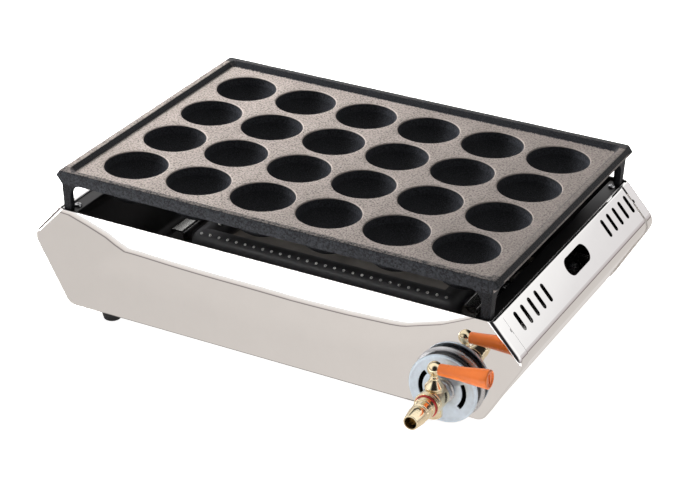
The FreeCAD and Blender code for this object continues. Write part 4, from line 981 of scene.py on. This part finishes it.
class COOKER_OT_air_intake(bpy.types.Operator):
    """Make the air shutter's pressed disc, and finish the washer, spring and nut that hold it"""
    bl_idname = "cooker.air_intake"
    bl_label = "Air intake"

    def execute(self, context):
        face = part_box("air_shutter")[0].y / MM
        points = [(0.3, 5.05, 0), (0.3, 20.9, 0.6), (0.0, 21.9, 0.5), (0.0, 23.2, 0.7), (0.9, 24.0, 0.7),
                  (2.8, 24.0, 0.2), (2.8, 23.2, 0.2), (1.1, 23.2, 0.4), (1.1, 5.05, 0)]
        disc = tap_turning("air_shutter_disc", points, face, around=120, closed=True)
        slot_inner, slot_outer, slot_sweep = 13.9, 16.9, 68.0
        cut(disc, [arc_tool(slot_inner, slot_outer, start, start + slot_sweep, face - 1, 4)
                   for start in (-40.0, 140.0)])
        soften(disc, 0.00012, 2, 50)
        smooth(disc)
        fit(disc, "shutter", "zinc_plate", "air_shutter")
        dress("gasket_fibre", "shutter_washer")
        dress("fastener_steel", "shutter_spring", "shutter_nut")
        dress("brass", "spigot_nut", "gas_jet")
        return {"FINISHED"}


# ---- the gas tap ----
class COOKER_OT_gas_tap(bpy.types.Operator):
    """Make the tap's barrel, plug housing, cap and the lever with its ball"""
    bl_idname = "cooker.gas_tap"
    bl_label = "Gas tap"

    def execute(self, context):
        crossing = Vector((TAP_X / MM, LEVER_Y, TAP_Z / MM))
        line = [(-125.8, 3.0, 0), (-125.8, 6.0, 0.3), (-120.4, 6.0, 0), (-120.4, 8.7, 0.5),
                (-118.0, 8.7, 0.4), (-117.6, 8.0, 0.3), (-117.0, 8.3, 0.3), (-104.9, 8.3, 0.6),
                (-104.7, 5.0, 0.0), (-90.3, 5.0, 0.3), (-90.3, 2.5, 0)]
        barrel = tap_turning("barrel", line, 0, closed=True)
        flat_height, flat_half, past = 7.6, 6.8, 9
        cut(barrel, [bar("flat", crossing + UP * flat_height, RIGHT * past, BACK * flat_half, UP * past)])
        smooth(barrel)
        line = [(-11.0, 4.55, 0), (-11.0, 5.9, 0.4), (7.6, 5.9, 0.2), (7.6, 4.55, 0)]
        housing = lever_turning("housing", line, closed=True)
        fit(join("tap_barrel", [barrel, housing]), "cooker_body", "brass", "tap_body")
        cap_end, slot_half, slot_depth, clear = 12.5, 0.6, 0.8, 1.5
        line = [(-cap_end, 0, 0), (-cap_end, 5.9, 0.7), (-11.0, 5.9, 0.2), (-11.0, 4.5, 0), (-8.2, 4.5, 0.3),
                (-8.2, 0, 0)]
        cap = lever_turning("screwed_plug_cap", line)
        below = crossing - UP * (cap_end + clear)
        cut(cap, [bar("slot", below, RIGHT * past, BACK * slot_half, UP * (clear + slot_depth))])
        smooth(cap)
        fit(cap, "cooker_body", "brass", "plug_cap")
        fit(lever_turning("lever_and_ball", lever_line(), around=64), "tap_valve", "brass", "tap_lever")
        dress("brass", "tap_plug")
        dress("fastener_steel", "plug_spring")
        return {"FINISHED"}


def lever_line():
    """Skirt, waist, neck bead and ball of the lever, up its own axis from the tap's."""
    base, ball_radius, neck, steps = 7.9, 5.0, 32, 12
    line = [(base + along, radius, rounding) for along, radius, rounding in
            ((0, 0, 0), (0, 6.2, 0.4), (1.5, 6.2, 0.5), (2.8, 5.2, 0.8), (5.0, 3.7, 1.2), (7.2, 2.9, 0.6),
             (7.8, 3.2, 0.3), (8.4, 2.7, 0.3))]
    for step in range(steps):
        turn = math.radians(neck + (180 - neck) * step / steps)
        line.append((BALL - ball_radius * math.cos(turn), ball_radius * math.sin(turn), 0))
    return line + [(BALL + ball_radius, 0, 0)]


class COOKER_OT_lever_grip(bpy.types.Operator):
    """Make the moulded grip, thin at the ball and thick at its slotted end"""
    bl_idname = "cooker.lever_grip"
    bl_label = "Lever grip"

    def execute(self, context):
        tilt = math.radians(4.5)
        way = Vector((math.cos(tilt), 0, math.sin(tilt)))
        start = Vector((TAP_X / MM, LEVER_Y, TAP_Z / MM + BALL))
        grip_end, slit_depth, slit_half = 38.0, 2.3, 3.4
        line = [(2.6, 0, 0), (2.6, 3.4, 0.4), (4.0, 3.9, 0.6), (10.0, 4.1, 3.0), (19.0, 4.7, 4.0),
                (29.0, 5.7, 4.0), (35.3, 6.3, 1.5), (grip_end, 6.25, 0.9), (grip_end, 4.7, 0.3),
                (37.3, 4.5, 0.3), (37.3, 0, 0)]
        grip = lathe("moulded_grip", line, start, way, around=64)
        across = Vector((-math.sin(tilt), 0, math.cos(tilt)))
        cut(grip, [bar("slit", start + way * (grip_end - slit_depth), BACK, across * slit_half, way * 4)])
        smooth(grip)
        fit(grip, "tap_valve", "orange_plastic", "lever_grip")
        return {"FINISHED"}


class COOKER_OT_hose_nipple(bpy.types.Operator):
    """Make the ridged hose nipple and its red stop ring"""
    bl_idname = "cooker.hose_nipple"
    bl_label = "Hose nipple"

    def execute(self, context):
        tip = NIPPLE_LOW.y / MM
        line = [(0, 4.1, 0), (0, 5.0, 0.35), (8.6, 6.35, 0.8), (10.2, 6.35, 0.4), (11.1, 5.75, 0.3),
                (12.4, 5.75, 0.3), (13.3, 6.45, 0.4), (17.8, 6.45, 0.2), (17.8, 7.1, 0.5), (22.4, 7.1, 0.1),
                (22.4, 8.7, 0.3), (23.8, 8.7, 0.3), (23.8, 6.0, 0), (17.9, 6.0, 0.1), (17.9, 4.1, 0)]
        nipple = tap_turning("turned_hose_nipple", line, tip, around=96, closed=True)
        fit(nipple, "cooker_body", "brass", "hose_nipple")
        line = [(21.4, 7.1, 0), (21.4, 7.5, 0.2), (21.7, 7.8, 0.2), (22.1, 7.8, 0.2), (22.4, 7.5, 0.2),
                (22.4, 7.1, 0)]
        ring = tap_turning("red_hose_ring", line, tip, closed=True)
        fit(ring, "cooker_body", "red_plastic", "hose_stop_ring")
        dress("gasket_fibre", "nipple_gasket")
        return {"FINISHED"}


# ---- stage ----
def lit(finish, light):
    """Close a stage material that only gives out light."""
    return finish.surface(Base_Color=(0, 0, 0), Roughness=1.0, Specular_IOR_Level=0.0, Emission_Color=light,
                          Emission_Strength=1.0)


def reflected_only(piece):
    """Hide a stage piece from everything but reflections."""
    piece.visible_camera = piece.visible_diffuse = piece.visible_shadow = False
    piece.visible_transmission = False


def card(name, columns, height):
    """A paper on the floor that only shows in reflections, from columns of (x, y, colour) in millimetres."""
    data = bmesh.new()
    tone = data.verts.layers.float_color.new("tone")
    grid = []
    for column in columns:
        grid.append([])
        for x, y, value in column:
            vertex = data.verts.new((x * MM, y * MM, height))
            vertex[tone] = (*value, 1.0)
            grid[-1].append(vertex)
    for left, right in zip(grid, grid[1:]):
        for step in range(len(left) - 1):
            data.faces.new((left[step], right[step], right[step + 1], left[step + 1]))
    paper = new_piece(name, data)
    finish = Finish(name + "_face")
    colours = finish.node("ShaderNodeAttribute", {"attribute_name": "tone"}, output="Color")
    paper.data.materials.append(lit(finish, colours))
    reflected_only(paper)


def soft_light(name, place, target, size, power):
    """A white area light that polished faces don't show."""
    lamp = bpy.data.lights.new(name, "AREA")
    lamp.shape, lamp.size, lamp.size_y, lamp.energy = "RECTANGLE", size[0], size[1], power
    holder = bpy.data.objects.new(name, lamp)
    holder.location = place
    holder.rotation_euler = (Vector(target) - Vector(place)).to_track_quat("-Z", "Y").to_euler()
    holder.visible_glossy = False
    bpy.context.scene.collection.objects.link(holder)
    return holder


# Radius of the studio walls in metres, and the front paper's far edge as (x, y) in millimetres.
ROOM = 1.2
PAPER_EDGE = [(-460, -226), (-330, -222), (-260, -219), (-248, -218), (-227, -210), (-203, -200),
              (-190, -193), (-178, -187.5), (-170, -187.5), (-114, -185.5), (-35, -183.5), (10, -185),
              (43, -187.5), (50, -188.8), (54, -190.4), (62, -196), (74, -204.5), (81, -213), (93, -228),
              (200, -262), (300, -300)]


class COOKER_OT_stage(bpy.types.Operator):
    """Set the camera, the pale floor and the studio light"""
    bl_idname = "cooker.stage"
    bl_label = "Stage"

    def execute(self, context):
        stage = context.scene.cooker_stage
        self.camera(context.scene, stage)
        self.floor(stage)
        self.daylight(context.scene, stage)
        self.walls(stage)
        self.papers(stage)
        soft_light("left_softbox", (-0.80, 0.16, 0.66), (0, 0.03, 0.1), (0.35, 0.35), stage.softbox)
        soft_light("front_fill", (0.45, -0.95, 1.0), (0.1, -0.1, 0.05), (0.5, 0.5), stage.fill)
        low = soft_light("gap_light", (0.0, -0.076, 0.099), (0, 0.01, 0.045), (0.26, 0.005), stage.gap_light)
        low.visible_glossy, low.visible_camera = True, False
        context.scene.view_settings.view_transform = "Standard"
        return {"FINISHED"}

    def floor(self, stage):
        data = bmesh.new()
        bmesh.ops.create_grid(data, x_segments=1, y_segments=1, size=6.0)
        for vertex in data.verts:
            vertex.co.z = -0.0002
        floor = new_piece("pale_floor", data)
        finish = Finish("pale_floor_paint")
        cloud = finish.noise(1.5, 2.0, 0.5)
        base = finish.blend(cloud.ramp(0.3, 0.8), tuple(stage.floor), tint(stage.floor, 0.985))
        floor.data.materials.append(finish.surface(Base_Color=base, Roughness=0.9, Emission_Color=base,
                                                   Emission_Strength=stage.floor_glow))

    def daylight(self, scene, stage):
        world = bpy.data.worlds.new("studio")
        world.use_nodes = True
        room = Tree(world.node_tree)
        world.node_tree.nodes.clear()
        sky = room.node("ShaderNodeBackground", None, {"Color": (1, 1, 1, 1), "Strength": stage.daylight})
        room.node("ShaderNodeOutputWorld", None, {"Surface": sky})
        scene.world = world

    def papers(self, stage):
        """Grey papers beside the body, painted with shadow where they lie under it; the front one ends in a
        soft edge that the panel mirrors as a line.
        """
        grey = tuple(stage.card)
        # Painted shadow: the papers are darker under and next to the body.
        under_body_shade, light, line, white = tint(grey, 0.42), tint(grey, 1.08), (0.30, 0.27, 0.27), (1.05, 1.05, 1.05)
        near, far = (0.9, 0.9, 0.9), (0.03, 0.03, 0.03)
        columns = []
        for x, edge in PAPER_EDGE:
            pale = tint(grey, 1.0 + 0.09 * min(1.0, max(0.0, (x + 150) / 250)))
            glow = tint(pale, 1.0 + 0.05 * min(1.0, max(0.0, (x + 190) / 20)))
            columns.append([(x, y, value) for y, value in (
                (-62, under_body_shade), (-86, under_body_shade), (-90, pale), (edge + 45, pale), (edge + 20, glow), (edge + 0.6, glow),
                (edge, line), (edge - 0.8, line), (edge - 1.6, tint(grey, 1.10)),
                (edge - 3.5, tint(grey, 1.30)), (edge - 7, white))])
        card("front_paper", columns, 0.0004)
        stops = ((-330, near), (-480, (0.7, 0.7, 0.7)), (-620, far), (-4500, far))
        card("front_dark", [[(x, y, value) for y, value in stops] for x in (-4000, 4000)], 0.0004)
        side = []
        for y in (-92, 0, 150, 153, 600, 4000):
            inner = under_body_shade if y < 152 else grey
            stops = ((100, inner), (134, inner), (142, grey), (260, grey), (4000, light))
            side.append([(x, y, value) for x, value in stops])
        card("side_paper", side, 0.0005)
        stops = ((-4000, grey), (-142, grey), (-134, under_body_shade))
        card("left_paper", [[(x, y, value) for y in (-88, 150)] for x, value in stops], 0.0006)
        stops = ((145, under_body_shade), (153, grey), (700, grey), (4000, light))
        card("rear_paper", [[(x, y, value) for y, value in stops] for x in (-4000, 100)], 0.0003)

    def walls(self, stage):
        """The room as the polished faces see it: white, dark behind the camera, grey at the horizon."""
        data = bmesh.new()
        bmesh.ops.create_icosphere(data, subdivisions=5, radius=ROOM)
        bmesh.ops.reverse_faces(data, faces=data.faces)
        walls = new_piece("studio_walls", data)
        finish = Finish("studio_wall_light")
        x, y, z = (place * (1.0 / ROOM) for place in finish.axes())
        azimuth, elevation = stage.azimuth, stage.elevation
        towards = (x * (math.sin(azimuth) * math.cos(elevation)) + z * math.sin(elevation)
                   - y * (math.cos(azimuth) * math.cos(elevation)))
        light = finish.blend(z.ramp(0.05, 0.30), (0.50, 0.44, 0.445), (0.93, 0.92, 0.93))
        light = finish.blend(z.ramp(0.03, 0.06), (0.10, 0.075, 0.075), light)
        light = finish.blend(z.ramp(0.285, 0.335), light, (1.15, 1.15, 1.15))
        light = finish.blend(towards.ramp(0.72, 0.90), light, (0.02, 0.02, 0.022))
        walls.data.materials.append(lit(finish, light))
        reflected_only(walls)

    def camera(self, scene, stage):
        azimuth, elevation, roll = stage.azimuth, stage.elevation, stage.roll
        back = Vector((math.sin(azimuth) * math.cos(elevation), -math.cos(azimuth) * math.cos(elevation),
                       math.sin(elevation)))
        right = Vector((math.cos(azimuth), math.sin(azimuth), 0))
        up = back.cross(right)
        across = right * math.cos(roll) + up * math.sin(roll)
        upright = up * math.cos(roll) - right * math.sin(roll)
        camera = bpy.data.objects.new("camera", bpy.data.cameras.new("camera"))
        camera.data.lens, camera.data.sensor_width = stage.lens, 36.0
        turn = Matrix((across, upright, back)).transposed().to_4x4()
        camera.matrix_world = Matrix.Translation(stage.place) @ turn
        camera.data.clip_start, camera.data.clip_end = 0.05, 30.0
        scene.collection.objects.link(camera)
        scene.camera = camera


STEPS = (COOKER_OT_stage, COOKER_OT_cooking_plate, COOKER_OT_body_panels, COOKER_OT_feet, COOKER_OT_screws,
         COOKER_OT_burner, COOKER_OT_air_intake, COOKER_OT_gas_tap, COOKER_OT_lever_grip,
         COOKER_OT_hose_nipple)


class COOKER_PT_sidebar(bpy.types.Panel):
    """Lists the cooker's pieces and their settings"""
    bl_label = "Takoyaki Cooker"
    bl_idname = "COOKER_PT_sidebar"
    bl_space_type = "VIEW_3D"
    bl_region_type = "UI"
    bl_category = "Cooker"

    def draw(self, context):
        for name, group in SETTINGS.items():
            column = self.layout.column(align=True)
            for field in group.__annotations__:
                column.prop(getattr(context.scene, name), field)
        for step in STEPS:
            self.layout.operator(step.bl_idname)


def register():
    for name, group in SETTINGS.items():
        bpy.utils.register_class(group)
        setattr(bpy.types.Scene, name, bpy.props.PointerProperty(type=group))
    for step in STEPS:
        bpy.utils.register_class(step)
    bpy.utils.register_class(COOKER_PT_sidebar)


def unregister():
    bpy.utils.unregister_class(COOKER_PT_sidebar)
    for step in reversed(STEPS):
        bpy.utils.unregister_class(step)
    for name, group in SETTINGS.items():
        delattr(bpy.types.Scene, name)
        bpy.utils.unregister_class(group)


def main():
    register()
    make_finishes(bpy.context.scene)
    for step in STEPS:
        group, name = step.bl_idname.split(".")
        getattr(getattr(bpy.ops, group), name)()


if __name__ == "__main__":
    main()
